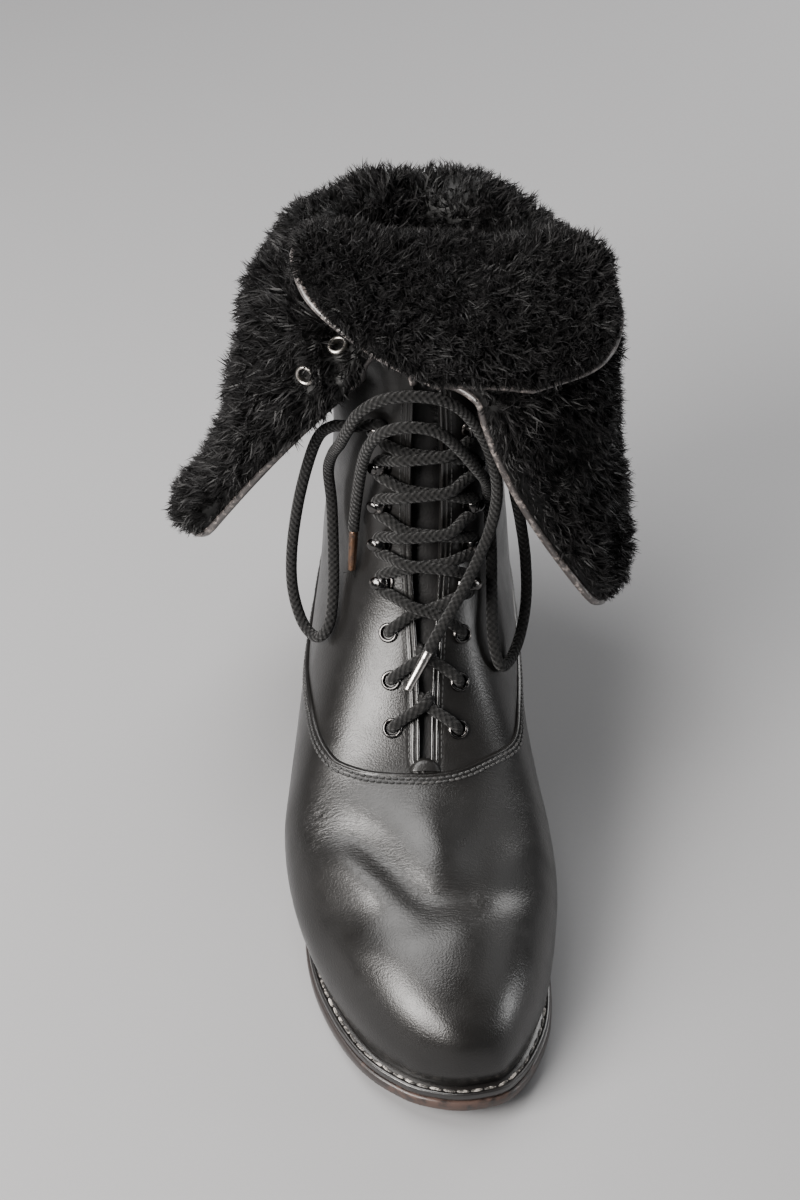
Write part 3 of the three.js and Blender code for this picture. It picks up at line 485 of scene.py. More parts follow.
def addMesh(name, points, faces, materials, sharp=50, values=None, faceSlots=None):
    polygons, kept = [], []
    for k, face in enumerate(np.asarray(faces).tolist()):
        corners = [v for i, v in enumerate(face) if v != face[i - 1]]
        if len(corners) > 2 and len(set(corners)) == len(corners):
            polygons.append(corners)
            kept.append(k)
    mesh = bpy.data.meshes.new(name)
    mesh.from_pydata((np.asarray(points) * mm).tolist(), [], polygons)
    mesh.polygons.foreach_set("use_smooth", np.ones(len(polygons), bool))
    for key, value in (values or {}).items():
        kind, field = ("FLOAT_VECTOR", "vector") if np.ndim(value) == 2 else ("FLOAT", "value")
        layer = mesh.attributes.new(key, kind, "POINT")
        layer.data.foreach_set(field, np.asarray(value, np.float32).ravel())
    for material in materials:
        mesh.materials.append(material)
    if faceSlots is not None:
        mesh.polygons.foreach_set("material_index", np.asarray(faceSlots)[kept].astype(np.int32))
    mesh.validate()
    mesh.update()
    if sharp:
        mesh.set_sharp_from_angle(angle=math.radians(sharp))
    item = bpy.data.objects.new(name, mesh)
    scene.collection.objects.link(item)
    return item


def dropShape(item):
    mesh = item.data
    bpy.data.objects.remove(item)
    bpy.data.meshes.remove(mesh)


def put(item, stands=()):
    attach(item, "root")
    if stands:
        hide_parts(*stands)
    return item


# materials


def make(tree, kind, inputs=None, **settings):
    item = tree.nodes.new(kind)
    for key, value in settings.items():
        setattr(item, key, value)
    for key, value in (inputs or {}).items():
        socket = item.inputs[key]
        if isinstance(value, bpy.types.NodeSocket):
            tree.links.new(value, socket)
        else:
            socket.default_value = value
    return item


def giveInputs(tree, inputs):
    for label, kind, value in inputs:
        socket = tree.interface.new_socket(label, in_out="INPUT", socket_type="NodeSocket" + kind)
        if value is not None:
            socket.default_value = value


def shaderGroup(name, inputs, outputs):
    tree = bpy.data.node_groups.new(name, "ShaderNodeTree")
    giveInputs(tree, inputs)
    for label in outputs:
        tree.interface.new_socket(label, in_out="OUTPUT", socket_type="NodeSocketFloat")
    return tree, tree.nodes.new("NodeGroupInput").outputs, tree.nodes.new("NodeGroupOutput").inputs


def math2(tree, operation, a, b, clamp=False):
    return make(tree, "ShaderNodeMath", {0: a, 1: b}, operation=operation, use_clamp=clamp).outputs[0]


def added(tree, a, b):
    return make(tree, "ShaderNodeVectorMath", {0: a, 1: b}, operation="ADD").outputs[0]


def scaled(tree, vector, amount):
    return make(tree, "ShaderNodeVectorMath", {0: vector, "Scale": amount}, operation="SCALE").outputs[0]


def rangeOf(tree, value, low, high, toLow, toHigh):
    return make(tree, "ShaderNodeMapRange", {0: value, 1: low, 2: high, 3: toLow, 4: toHigh}).outputs[0]


def noiseOf(tree, vector, scale, detail, **more):
    return make(tree, "ShaderNodeTexNoise", {"Vector": vector, "Scale": scale, "Detail": detail, **more}).outputs["Fac"]


def streaksOf(tree, vector, scale, detail, **more):  # noise drawn out by a scale for each axis
    drawn = make(tree, "ShaderNodeMapping", {"Vector": vector, "Scale": scale}).outputs[0]
    return noiseOf(tree, drawn, 1.0, detail, **more)


def blendTone(tree, factor, dark, light):
    return make(tree, "ShaderNodeMix", {0: factor, 6: (*dark, 1), 7: (*light, 1)}, data_type="RGBA").outputs[2]


def attribute(tree, name):
    return make(tree, "ShaderNodeAttribute", attribute_name=name).outputs["Fac"]


def buildHideGrain():  # pebbles, pores and fine folds of a hide, with its slow changes of tone
    tree, given, out = shaderGroup("hideGrain", [
        ("Vector", "Vector", None), ("Pebble", "Float", 1500.0), ("Fold", "Float", 0.0)], ("Height", "Tone", "Haze"))
    vector = given["Vector"]
    warp = make(tree, "ShaderNodeTexNoise", {"Vector": vector, "Scale": 420.0, "Detail": 2.0}).outputs["Color"]
    bent = added(tree, vector, scaled(tree, warp, 0.0011))
    cell = make(tree, "ShaderNodeTexVoronoi", {"Vector": bent, "Scale": given["Pebble"]}, feature="SMOOTH_F1")
    pebble = rangeOf(tree, cell.outputs["Distance"], 0.1, 0.8, 0.5, 0.0)
    pores = math2(tree, "MULTIPLY", noiseOf(tree, vector, 5200.0, 1.0), 0.18)
    folds = streaksOf(tree, bent, (150.0, 900.0, 420.0), 3.0, Distortion=0.6)
    ridged = math2(tree, "ABSOLUTE", math2(tree, "SUBTRACT", folds, 0.5), 0.0)
    creased = math2(tree, "MULTIPLY", rangeOf(tree, ridged, 0.0, 0.10, -0.8, 0.0), given["Fold"])
    height = math2(tree, "ADD", math2(tree, "ADD", pebble, pores), creased)
    tree.links.new(height, out["Height"])
    tree.links.new(noiseOf(tree, vector, 24.0, 4.0, Roughness=0.6), out["Tone"])
    tree.links.new(noiseOf(tree, vector, 60.0, 5.0, Roughness=0.65), out["Haze"])
    return tree


def buildRubWear():  # patches where a finish is rubbed through
    tree, given, out = shaderGroup("rubWear", [
        ("Vector", "Vector", None), ("Scale", "Float", 200.0), ("Amount", "Float", 0.5)], ("Mask",))
    spots = noiseOf(tree, given["Vector"], given["Scale"], 6.0, Roughness=0.7)
    edge = math2(tree, "SUBTRACT", 1.0, given["Amount"])
    tree.links.new(math2(tree, "MULTIPLY", math2(tree, "SUBTRACT", spots, edge), 7.0, clamp=True), out["Mask"])
    return tree


hideGrain, rubWear = buildHideGrain(), buildRubWear()
socketNames = {"spec": "Specular IOR Level", "coat": "Coat Weight", "coatRough": "Coat Roughness",
               "sheen": "Sheen Weight", "sheenRough": "Sheen Roughness", "metal": "Metallic", "rough": "Roughness"}


def newFinish(name, **sockets):
    material = bpy.data.materials.new(name)
    material.use_nodes = True
    tree = material.node_tree
    for key, value in sockets.items():
        tree.nodes["Principled BSDF"].inputs[socketNames[key]].default_value = value
    return material, tree, tree.nodes.new("ShaderNodeTexCoord").outputs["Object"]


def useGroup(tree, group, **inputs):
    return make(tree, "ShaderNodeGroup", inputs, node_tree=group).outputs


def dress(material, tone, rough=None, bump=None):  # joins tone, roughness and a height to the shader
    tree = material.node_tree
    shader = tree.nodes["Principled BSDF"].inputs
    tree.links.new(tone, shader["Base Color"])
    if rough is not None:
        tree.links.new(rough, shader["Roughness"])
    if bump is not None:
        height, strength, distance = bump
        raised = make(tree, "ShaderNodeBump", {"Height": height, "Strength": strength, "Distance": distance})
        tree.links.new(raised.outputs[0], shader["Normal"])
    return material


def leatherFinish(name, dark, light, rough, pebble, bump, folded=False, coat=0.08):
    material, tree, place = newFinish(name, spec=0.4, coat=coat, coatRough=0.2)
    fold = attribute(tree, "flex") if folded else 0.0
    grain = useGroup(tree, hideGrain, Vector=place, Pebble=pebble, Fold=fold)
    tone = blendTone(tree, rangeOf(tree, grain["Tone"], 0.3, 0.75, 0, 1), dark, light)
    haze = rangeOf(tree, grain["Haze"], 0.3, 0.7, rough - 0.06, rough + 0.08)
    return dress(material, tone, haze, (grain["Height"], bump, 0.00034))


def edgeLeather(name, dark, worn, rough, scale, amount, toe=False):  # layered edges, worn through in patches
    material, tree, place = newFinish(name, spec=0.5, coat=0.25, coatRough=0.18)
    share = amount
    if toe:  # more wear towards the toe
        y = make(tree, "ShaderNodeSeparateXYZ", {0: place}).outputs["Y"]
        share = rangeOf(tree, y, -0.205, -0.262, amount * 0.5, amount + 0.22)
    mask = useGroup(tree, rubWear, Vector=place, Scale=scale, Amount=share)["Mask"]
    layers = streaksOf(tree, place, (120.0, 120.0, 1400.0), 3.0)
    return dress(material, blendTone(tree, mask, dark, worn), rangeOf(tree, mask, 0, 1, rough, rough + 0.22),
                 (layers, 0.35, 0.0003))


def soleUnderFinish():  # the walked-on leather under the boot
    material, tree, place = newFinish("soleUnderHide", spec=0.4)
    scuff = useGroup(tree, rubWear, Vector=place, Scale=70.0, Amount=0.5)["Mask"]
    scratch = streaksOf(tree, place, (900.0, 140.0, 140.0), 4.0)
    tone = blendTone(tree, scuff, (0.022, 0.015, 0.012), (0.085, 0.058, 0.042))
    return dress(material, tone, rangeOf(tree, scratch, 0.3, 0.7, 0.5, 0.75), (scratch, 0.4, 0.0004))


def rubberFinish():
    material, tree, place = newFinish("heelRubber", spec=0.4)
    scuff = useGroup(tree, rubWear, Vector=place, Scale=160.0, Amount=0.46)["Mask"]
    tone = blendTone(tree, scuff, (0.009, 0.009, 0.009), (0.032, 0.031, 0.030))
    speck = noiseOf(tree, place, 1800.0, 2.0)
    return dress(material, tone, rangeOf(tree, scuff, 0, 1, 0.62, 0.85), (speck, 0.35, 0.0003))


def metalFinish(name, dark, bare, rough, amount, scale):
    material, tree, place = newFinish(name, metal=1.0, spec=0.5, coat=0.3, coatRough=0.08)
    mask = useGroup(tree, rubWear, Vector=place, Scale=scale, Amount=amount)["Mask"]
    dents = noiseOf(tree, place, 700.0, 2.0)
    return dress(material, blendTone(tree, mask, dark, bare), rangeOf(tree, mask, 0, 1, rough, rough + 0.2),
                 (dents, 0.12, 0.0004))


def threadFinish(name, dark, light, amount):
    material, tree, place = newFinish(name, spec=0.45, sheen=0.15)
    mask = useGroup(tree, rubWear, Vector=place, Scale=330.0, Amount=amount)["Mask"]
    twist = noiseOf(tree, place, 2600.0, 2.0)
    return dress(material, blendTone(tree, mask, dark, light), rangeOf(tree, twist, 0.3, 0.7, 0.42, 0.65),
                 (twist, 0.5, 0.0003))


def laceFinish():  # a round braid of small checks, its hollows darkened with painted shade
    material, tree, place = newFinish("laceCotton", spec=0.2, sheen=0.08, sheenRough=0.5)
    spot = make(tree, "ShaderNodeUVMap", uv_map="UVMap").outputs[0]
    around, along = make(tree, "ShaderNodeSeparateXYZ", {0: spot}).outputs[:2]
    waves = [math2(tree, "SINE", math2(tree, "MULTIPLY", share, 2 * math.pi * count), 0.0)
             for share, count in ((around, 5.0), (along, 1.4))]
    fuzz = noiseOf(tree, place, 3200.0, 3.0)
    lift = math2(tree, "ADD", math2(tree, "MULTIPLY", *waves), math2(tree, "MULTIPLY", fuzz, 0.9))
    faded = rangeOf(tree, noiseOf(tree, place, 180.0, 3.0), 0.3, 0.7, 0.5, 1)
    # painted shade: the colour follows the braid's height, dark where it lies low and lighter on its raised checks,
    # faded at random
    shade = math2(tree, "MULTIPLY", rangeOf(tree, lift, 0.0, 1.35, 0, 1), faded)
    tone = blendTone(tree, shade, (0.0035, 0.0035, 0.0035), (0.012, 0.0115, 0.0112))
    return dress(material, tone, rangeOf(tree, fuzz, 0.3, 0.7, 0.75, 0.95), (lift, 0.9, 0.0005))


def furFinish(name, root, tip, sheen):
    material, tree, place = newFinish(name, spec=0.2, rough=0.52, sheen=sheen, sheenRough=0.35)
    # painted highlight: the colour lightens from the fur's black root tone to the tip tone along each hair, more in
    # random patches
    patch = rangeOf(tree, noiseOf(tree, place, 90.0, 4.0, Roughness=0.7), 0.35, 0.68, 0.15, 1.0)
    return dress(material, blendTone(tree, math2(tree, "MULTIPLY", attribute(tree, "tip"), patch), root, tip))


def fleeceFinish():  # the short pile inside the foot
    material, tree, place = newFinish("liningFleece", spec=0.3, sheen=0.4, sheenRough=0.4)
    curl = noiseOf(tree, place, 420.0, 5.0, Roughness=0.7, Distortion=1.2)
    tone = blendTone(tree, curl, (0.003, 0.003, 0.003), (0.016, 0.015, 0.015))
    return dress(material, tone, rangeOf(tree, curl, 0.3, 0.7, 0.8, 0.98), (curl, 0.9, 0.002))


def floorFinish():
    material, tree, place = newFinish("paleFloor", spec=0.25)
    tone = stage["floorTone"]
    cloud = blendTone(tree, noiseOf(tree, place, 3.0, 3.0), tuple(0.94 * v for v in tone), tone)
    return dress(material, cloud, rangeOf(tree, noiseOf(tree, place, 600.0, 2.0), 0.3, 0.7, 0.6, 0.75))


upperTones = {"dark": (0.0055, 0.0052, 0.0050), "light": (0.0075, 0.0070, 0.0066)}
blackHide = leatherFinish("blackHide", **upperTones, rough=0.325, pebble=1450.0, bump=0.30, folded=True)
quarterHide = leatherFinish("quarterHide", **upperTones, rough=0.335, pebble=1450.0, bump=0.32)
tongueHide = leatherFinish("tongueHide", dark=(0.006, 0.006, 0.006), light=(0.011, 0.010, 0.010),
                           rough=0.48, pebble=1100.0, bump=0.40, coat=0.04)
weltHide = edgeLeather("weltHide", dark=(0.008, 0.0072, 0.007), worn=(0.045, 0.038, 0.034),
                       rough=0.28, scale=300.0, amount=0.36)
soleEdge = edgeLeather("soleEdge", dark=(0.013, 0.009, 0.008), worn=(0.052, 0.029, 0.022),
                       rough=0.42, scale=210.0, amount=0.42, toe=True)
heelHide = edgeLeather("heelHide", dark=(0.010, 0.008, 0.0075), worn=(0.05, 0.03, 0.022),
                       rough=0.36, scale=180.0, amount=0.34)
bindingHide = edgeLeather("bindingHide", dark=(0.045, 0.040, 0.039), worn=(0.26, 0.225, 0.21),
                          rough=0.34, scale=420.0, amount=0.48)
pipedHide = edgeLeather("pipedHide", dark=(0.008, 0.0075, 0.0072), worn=(0.05, 0.044, 0.040),
                        rough=0.20, scale=500.0, amount=0.36)
soleUnderHide, heelRubber = soleUnderFinish(), rubberFinish()
blackEnamel = metalFinish("blackEnamel", dark=(0.055, 0.053, 0.052), bare=(0.34, 0.31, 0.29),
                          rough=0.17, amount=0.45, scale=420.0)
wornNickel = metalFinish("wornNickel", dark=(0.42, 0.40, 0.37), bare=(0.16, 0.145, 0.13),
                         rough=0.28, amount=0.5, scale=500.0)
tipSteel = metalFinish("tipSteel", dark=(0.46, 0.44, 0.42), bare=(0.12, 0.11, 0.10),
                       rough=0.26, amount=0.42, scale=600.0)
tipBronze = metalFinish("tipBronze", dark=(0.16, 0.09, 0.055), bare=(0.035, 0.03, 0.03),
                        rough=0.34, amount=0.5, scale=500.0)
seamThread = threadFinish("seamThread", dark=(0.010, 0.010, 0.010), light=(0.05, 0.047, 0.045), amount=0.45)
weltThread = threadFinish("weltThread", dark=(0.020, 0.018, 0.016), light=(0.34, 0.315, 0.29), amount=0.53)
laceCotton, liningFleece = laceFinish(), fleeceFinish()
# the tip tones are a painted highlight on the hair tips; the root tones are the fur's own black
furCoat = furFinish("furCoat", root=(0.0020, 0.0019, 0.0020), tip=(0.0145, 0.0136, 0.014), sheen=0.035)
furUnder = furFinish("furUnder", root=(0.0016, 0.0016, 0.0016), tip=(0.003, 0.003, 0.003), sheen=0.0)
print("finishes made")

# the two free ends of the lace, each from its top hook to its metal tip

laceWay = {"diameter": 4.6, "sides": 14, "step": 0.7, "braidPitch": 3.6}
lateralRoute = [
    (-26, -74.3, 188.5), (-31, -71.8, 186.5), (-36, -67.5, 183), (-41.5, -62, 174), (-46, -60.5, 160),
    (-50.5, -64.5, 142), (-53.5, -70, 122), (-53.5, -76, 106), (-49.5, -84, 94.5), (-43.5, -90.5, 92.5),
    (-38.5, -91, 100), (-36.8, -82.5, 110), (-36.8, -70.5, 120.5), (-37.4, -59.5, 137), (-38.5, -57, 152),
    (-36.5, -64, 166), (-33, -74.5, 180), (-30, -80.5, 191), (-25.5, -84, 202), (-18, -86, 209.5),
    (-8.5, -87, 212.5), (1.5, -87, 212), (10, -85.5, 207.5), (17, -83.5, 198.5), (23.6, -82.3, 184),
    (27.4, -83.2, 166), (26, -85.5, 150), (21, -92, 137.5), (13, -104.5, 127.5), (5.2, -114.5, 118.5),
    (1, -119.5, 112.5)]
medialRoute = [
    (24.5, -72.5, 188), (29, -67.5, 184), (31.5, -61.5, 176), (33, -59.5, 163), (35, -60, 148), (38.5, -62, 130),
    (41, -66, 113), (41.5, -74, 98), (39, -85, 88.5), (34.5, -98, 87), (30, -106.5, 92.5), (27, -101.5, 103.5),
    (26.6, -88, 116), (26.4, -76.5, 128), (25.5, -72, 141), (24.4, -73, 153.5), (23.2, -78.2, 164.5),
    (19.5, -84, 175), (13.5, -87.5, 186.5), (6, -89.5, 196.5), (-2, -90.5, 200.5), (-10, -90.5, 200.5),
    (-17, -89, 196.5), (-21.8, -86, 188), (-24.5, -81.5, 175), (-26.5, -77.5, 158), (-28, -76, 143.5),
    (-28.3, -77.5, 138.5)]
tips = {"radius": 1.9, "length": 17, "sides": 14, "frays": 5, "frayRadius": 0.16, "frayLean": 0.45, "seed": 5}
tipProfile = np.array([  # distance along the tip and share of its radius
    (-1.2, 0.86), (0.0, 0.92), (0.35, 1.0), (0.8, 1.0), (2.2, 0.99), (2.6, 0.92), (3.0, 0.98), (6, 0.96), (9, 0.94),
    (12, 0.92), (14.2, 0.91), (14.6, 0.85), (15.0, 0.90), (16.4, 0.88), (16.8, 0.82), (17.0, 0.5)])


def addTubes(name, lines, material, radii):  # round cords with their place around and along as a UV map
    sides, parts, places = laceWay["sides"], [], []
    for line, radius in zip(lines, radii):
        parts.append(tubeOf(line, radius, sides))
        gone = goneAlong(line) / laceWay["braidPitch"]
        k, j = np.meshgrid(np.arange(len(line) - 1), np.arange(sides), indexing="ij")
        corners = [np.stack([(j + a) / sides, gone[k + b]], -1) for a, b in ((0, 0), (1, 0), (1, 1), (0, 1))]
        ends = np.zeros((2 * sides, 3, 2))
        ends[sides:, :, 1] = gone[-1]
        places += [np.stack(corners, 2).reshape(-1, 2), ends.reshape(-1, 2)]
    item = addMesh(name, *joined(parts), [material], sharp=0)
    layer = item.data.uv_layers.new(name="UVMap")
    layer.data.foreach_set("uv", np.concatenate(places).astype(np.float32).ravel())
    return item


def addTip(name, route, material):
    end, before = np.array(route[-1], float), np.array(route[-2], float)
    along = unit(end - before)
    stops, girth = tipProfile.T
    pieces = [tubeOf(end + along * (stops + body["gap"])[:, None], tips["radius"] * girth, tips["sides"])]
    chance = np.random.default_rng(tips["seed"])
    for _ in range(tips["frays"]):  # threads at the end of the tip
        lean = unit(along + chance.normal(0, tips["frayLean"], 3))
        start = end + along * (tips["length"] - 0.4) + chance.normal(0, 0.5, 3)
        thread = start + lean * np.linspace(0, chance.uniform(2, 4), 4)[:, None]
        pieces.append(tubeOf(thread, tips["frayRadius"], 4))
    slots = np.concatenate([np.full(len(f), min(i, 1)) for i, (_, f) in enumerate(pieces)])
    return addMesh(name, *joined(pieces), [material, laceCotton], sharp=45, faceSlots=slots)


def addCord(name, route, tip, node):
    count = int(lengthOf(curveThrough(route, 600)) / laceWay["step"])
    line = evenly(curveThrough(route, 60 * len(route)), count)
    cord = addTubes(name, [line], laceCotton, [laceWay["diameter"] / 2])
    put(cord, ["lace_end_" + node])
    put(tip, ["aglet_" + node])
    print("cord", name, round(lengthOf(line), 1), "mm")


addCord("laceEndLateral", lateralRoute, addTip("tipLateral", lateralRoute, tipSteel), "lateral")
addCord("laceEndMedial", medialRoute, addTip("tipMedial", medialRoute, tipBronze), "medial")

# trees for what repeats: shapes on points, and tufts of fur


def geometryTree(name, inputs):
    tree = bpy.data.node_groups.new(name, "GeometryNodeTree")
    tree.interface.new_socket("Geometry", in_out="INPUT", socket_type="NodeSocketGeometry")
    giveInputs(tree, inputs)
    tree.interface.new_socket("Geometry", in_out="OUTPUT", socket_type="NodeSocketGeometry")
    return tree, tree.nodes.new("NodeGroupInput").outputs, tree.nodes.new("NodeGroupOutput").inputs


def endTree(tree, placed, finish, out):
    solid = make(tree, "GeometryNodeRealizeInstances", {"Geometry": placed.outputs[0]})
    coated = make(tree, "GeometryNodeSetMaterial", {"Geometry": solid.outputs[0], "Material": finish})
    tree.links.new(coated.outputs[0], out["Geometry"])
    return tree


def named(tree, name, kind="FLOAT_VECTOR"):
    return make(tree, "GeometryNodeInputNamedAttribute", {"Name": name}, data_type=kind).outputs[0]


def chanceVector(tree, low, high, seed):
    return make(tree, "FunctionNodeRandomValue", {0: low, 1: high, "Seed": seed}, data_type="FLOAT_VECTOR").outputs[0]


def turnedBy(tree, rotation, angles):  # a rotation turned further about its own axes
    turn = make(tree, "FunctionNodeEulerToRotation", {0: angles}).outputs[0]
    return make(tree, "FunctionNodeRotateRotation", {"Rotation": rotation, "Rotate By": turn},
                rotation_space="LOCAL").outputs[0]


def buildPlacing():  # one shape on every point, its x along the work and its z out of it
    tree, given, out = geometryTree("placedShapes", [
        ("Shape", "Object", None), ("Size", "Vector", (1.0, 1.0, 1.0)), ("Wobble", "Vector", (0.0, 0.0, 0.0)),
        ("Seed", "Int", 1), ("Finish", "Material", None)])
    first = make(tree, "FunctionNodeAlignRotationToVector", {"Vector": named(tree, "along")}, axis="X")
    second = make(tree, "FunctionNodeAlignRotationToVector", {
        "Rotation": first.outputs[0], "Vector": named(tree, "facing")}, axis="Z", pivot_axis="X")
    wobble = chanceVector(tree, scaled(tree, given["Wobble"], -1.0), given["Wobble"], given["Seed"])
    shape = make(tree, "GeometryNodeObjectInfo", {"Object": given["Shape"], "As Instance": True})
    placed = make(tree, "GeometryNodeInstanceOnPoints", {
        "Points": given["Geometry"], "Instance": shape.outputs["Geometry"],
        "Rotation": turnedBy(tree, second.outputs[0], wobble), "Scale": given["Size"]})
    return endTree(tree, placed, given["Finish"], out)


def buildFur():  # tufts scattered on a surface, leaning in drifts
    tree, given, out = geometryTree("furTufts", [
        ("Tufts", "Collection", None), ("Density", "Float", 300000.0), ("Lean", "Float", 0.5), ("Drift", "Float", 80.0),
        ("Tousle", "Float", 1.0), ("Kinds", "Int", 8), ("Seed", "Int", 1), ("Finish", "Material", None)])
    seed = given["Seed"]
    spread = make(tree, "GeometryNodeDistributePointsOnFaces", {
        "Mesh": given["Geometry"], "Density": given["Density"], "Seed": seed}, distribute_method="RANDOM")
    place = make(tree, "GeometryNodeInputPosition").outputs[0]
    drift = make(tree, "ShaderNodeTexNoise", {"Vector": place, "Scale": given["Drift"], "Detail": 2.0})
    blown = scaled(tree, added(tree, drift.outputs["Color"], (-0.5, -0.5, -0.5)), given["Tousle"])
    combed = scaled(tree, named(tree, "comb"), given["Lean"])
    way = spread.outputs["Normal"]
    for push in (combed, blown, chanceVector(tree, (-0.3, -0.3, -0.3), (0.3, 0.3, 0.3), seed)):
        way = added(tree, way, push)
    stood = make(tree, "FunctionNodeAlignRotationToVector", {"Vector": way}, axis="Z").outputs[0]
    spun = turnedBy(tree, stood, chanceVector(tree, (0.0, 0.0, -3.1), (0.0, 0.0, 3.1), seed))
    vary = make(tree, "FunctionNodeRandomValue", {2: 0.65, 3: 1.25, "Seed": seed}, data_type="FLOAT").outputs[1]
    size = math2(tree, "MULTIPLY", named(tree, "pile", "FLOAT"), vary)
    kinds = make(tree, "GeometryNodeCollectionInfo", {
        "Collection": given["Tufts"], "Separate Children": True, "Reset Children": True})
    last = math2(tree, "SUBTRACT", given["Kinds"], 1.0)
    pick = make(tree, "FunctionNodeRandomValue", {4: 0, 5: last, "Seed": seed}, data_type="INT").outputs[2]
    placed = make(tree, "GeometryNodeInstanceOnPoints", {
        "Points": spread.outputs["Points"], "Instance": kinds.outputs[0], "Pick Instance": True,
        "Instance Index": pick, "Rotation": spun, "Scale": size})
    return endTree(tree, placed, given["Finish"], out)


placedShapes, furTufts = buildPlacing(), buildFur()


def settle(item, tree, **inputs):  # runs a tree on a piece and keeps the plain mesh
    step = item.modifiers.new(tree.name, "NODES")
    step.node_group = tree
    for socket in tree.interface.items_tree:
        if socket.in_out == "INPUT" and socket.name in inputs:
            step[socket.identifier] = inputs[socket.name]
    graph = bpy.context.evaluated_depsgraph_get()
    made = bpy.data.meshes.new_from_object(item.evaluated_get(graph))
    item.modifiers.clear()
    old, item.data = item.data, made
    bpy.data.meshes.remove(old)
    made.name = item.name


def repeatOn(name, spots, shape, material, sharp=40, wobble=(0, 0, 0), seed=1):  # spots: places, ways along, facings
    points, along, facing = (np.concatenate(column) for column in zip(*spots))
    along = unit(along - facing * (along * facing).sum(1, keepdims=True))
    pattern = addMesh(name + "Shape", *shape, [], sharp=sharp)  # only its copies show
    item = addMesh(name, points, np.zeros((0, 4), int), [], sharp=0, values={"along": along, "facing": facing})
    settle(item, placedShapes, Shape=pattern, Wobble=wobble, Seed=seed, Finish=material)
    dropShape(pattern)
    return item


print("trees built")

# the vamp: one piece of leather from the toe to the back, its top edge beaded and stitched

vamp = {"rise": 1.1, "edgeRound": 1.2, "bead": (0.3, 1.0, 0.5), "groove": (-0.24, 1.85, 0.32), "lap": 3.4, "low": 2.4,
        "lapUnder": -0.02, "thinnest": 0.9, "stitchRows": (2.6, 4.3), "pitch": 2.6, "thread": (2.45, 1.15, 1.1),
        "threadLift": 0.15}
vampGrid = {  # sections of the toe, steps away from the edge, and steps behind its front point
    "toe": [0, 0.02, 0.06, 0.12, 0.2, 0.3, 0.42, 0.56],
    "close": np.array([0, 0.25, 0.5, 0.8, 1.1, 1.5, 1.9, 2.3, 2.8, 3.4, 4.0, 4.8]),
    "after": np.array([0.012, 0.03, 0.06, 0.1, 0.15, 0.2, 0.26, 0.33, 0.42]),
    "foreRows": 74, "sideRows": 56, "backRows": 34, "waist": 12.3, "columns": 34, "sectionLength": 22}
flexing = {"spread": 8, "behind": 0.3, "from": -176, "rise": 20, "to": -136, "fall": 10, "upFrom": 0.25, "upOver": 0.4}
creases = [  # plan line, height, spread
    ([(-42, -158), (-37, -162.8), (-32.4, -166.5), (-22.8, -173.4), (-15.3, -182.8), (-7.8, -191.8), (-0.4, -197.3),
      (6.9, -198.4), (14.3, -197.0)], -3.2, 5.0),
    ([(4, -198.2), (14.3, -197.0), (23, -193.5), (33.3, -188.4), (43, -178)], -1.8, 5.6),
    ([(44, -160), (37.8, -163.9), (30, -168.3), (24.1, -175.6), (19.2, -184.8), (14.4, -192.8)], -1.1, 5.6),
    ([(-1.5, -160), (3.2, -175), (4.2, -186)], 1.7, 7.0),
    ([(-40, -168.5), (-32.2, -176.8), (-24.6, -185), (-17.1, -191.5), (-9.7, -198)], 1.7, 5.2),
    ([(-46, -181), (-35.8, -193.8), (-22.6, -203.3), (-11.5, -207.4), (-0.5, -207.6), (10.5, -205.5)], -1.8, 7.0),
    ([(-31, -209), (-22.5, -212), (-16.1, -213.4), (-8.8, -215.4), (-0.6, -218.5)], 0.55, 6.5),
    ([(10.5, -206), (21.7, -201.5), (33.1, -195), (42, -189)], 0.25, 7.0),
    ([(47, -170), (41, -176)], -0.5, 2.8),
]
creaseEnd = {"height": 0.25, "length": 0.3}  # how much of a crease is left at its ends, and over which share it fades
creaseUp = {"from": 0.05, "over": 0.5}  # creases fade where the leather turns down the sides


def creaseHeight(points, normals):
    height = np.zeros(len(points))
    share = np.linspace(0, 1, 60)
    fade = smooth(np.minimum(share, 1 - share) / creaseEnd["length"])
    fade = creaseEnd["height"] + (1 - creaseEnd["height"]) * fade
    for line, amount, spread in creases:
        way = curveThrough(line, len(share))
        gaps = np.linalg.norm(points[:, None, :2] - way[None], axis=2)
        height += amount * (fade * np.exp(-0.5 * (gaps / spread) ** 2)).max(axis=1)
    return height * smooth((normals[:, 2] - creaseUp["from"]) / creaseUp["over"])


def flexOf(points, normals):  # where fine wrinkles gather: along the main crease and behind it
    y = points[:, 1]
    main = distanceTo(points[:, :2], evenly(np.array(creases[0][0], float), 110))
    behind = flexing["behind"] * smooth((y - flexing["from"]) / flexing["rise"])
    behind = behind * smooth((flexing["to"] - y) / flexing["fall"])
    flexed = np.maximum(np.exp(-0.5 * (main / flexing["spread"]) ** 2), behind)
    return flexed * smooth((normals[:, 2] - flexing["upFrom"]) / flexing["upOver"])


def turnsByArc(s, side, start, end, near, evenCount):  # places round a section at given distances from its start
    fine = np.linspace(0, 1, 160)
    turns = start[:, None] + (end - start)[:, None] * fine
    path = lastPoint(s[:, None], side, turns)
    found = []
    for k in range(len(s)):
        gone = goneAlong(path[k])
        first = near * min(1.0, 0.6 * gone[-1] / near[-1])
        rest = np.linspace(first[-1], gone[-1], evenCount + 1)[1:]
        found.append(np.interp(np.concatenate([first, rest]), gone, turns[k]))
    return np.array(found)


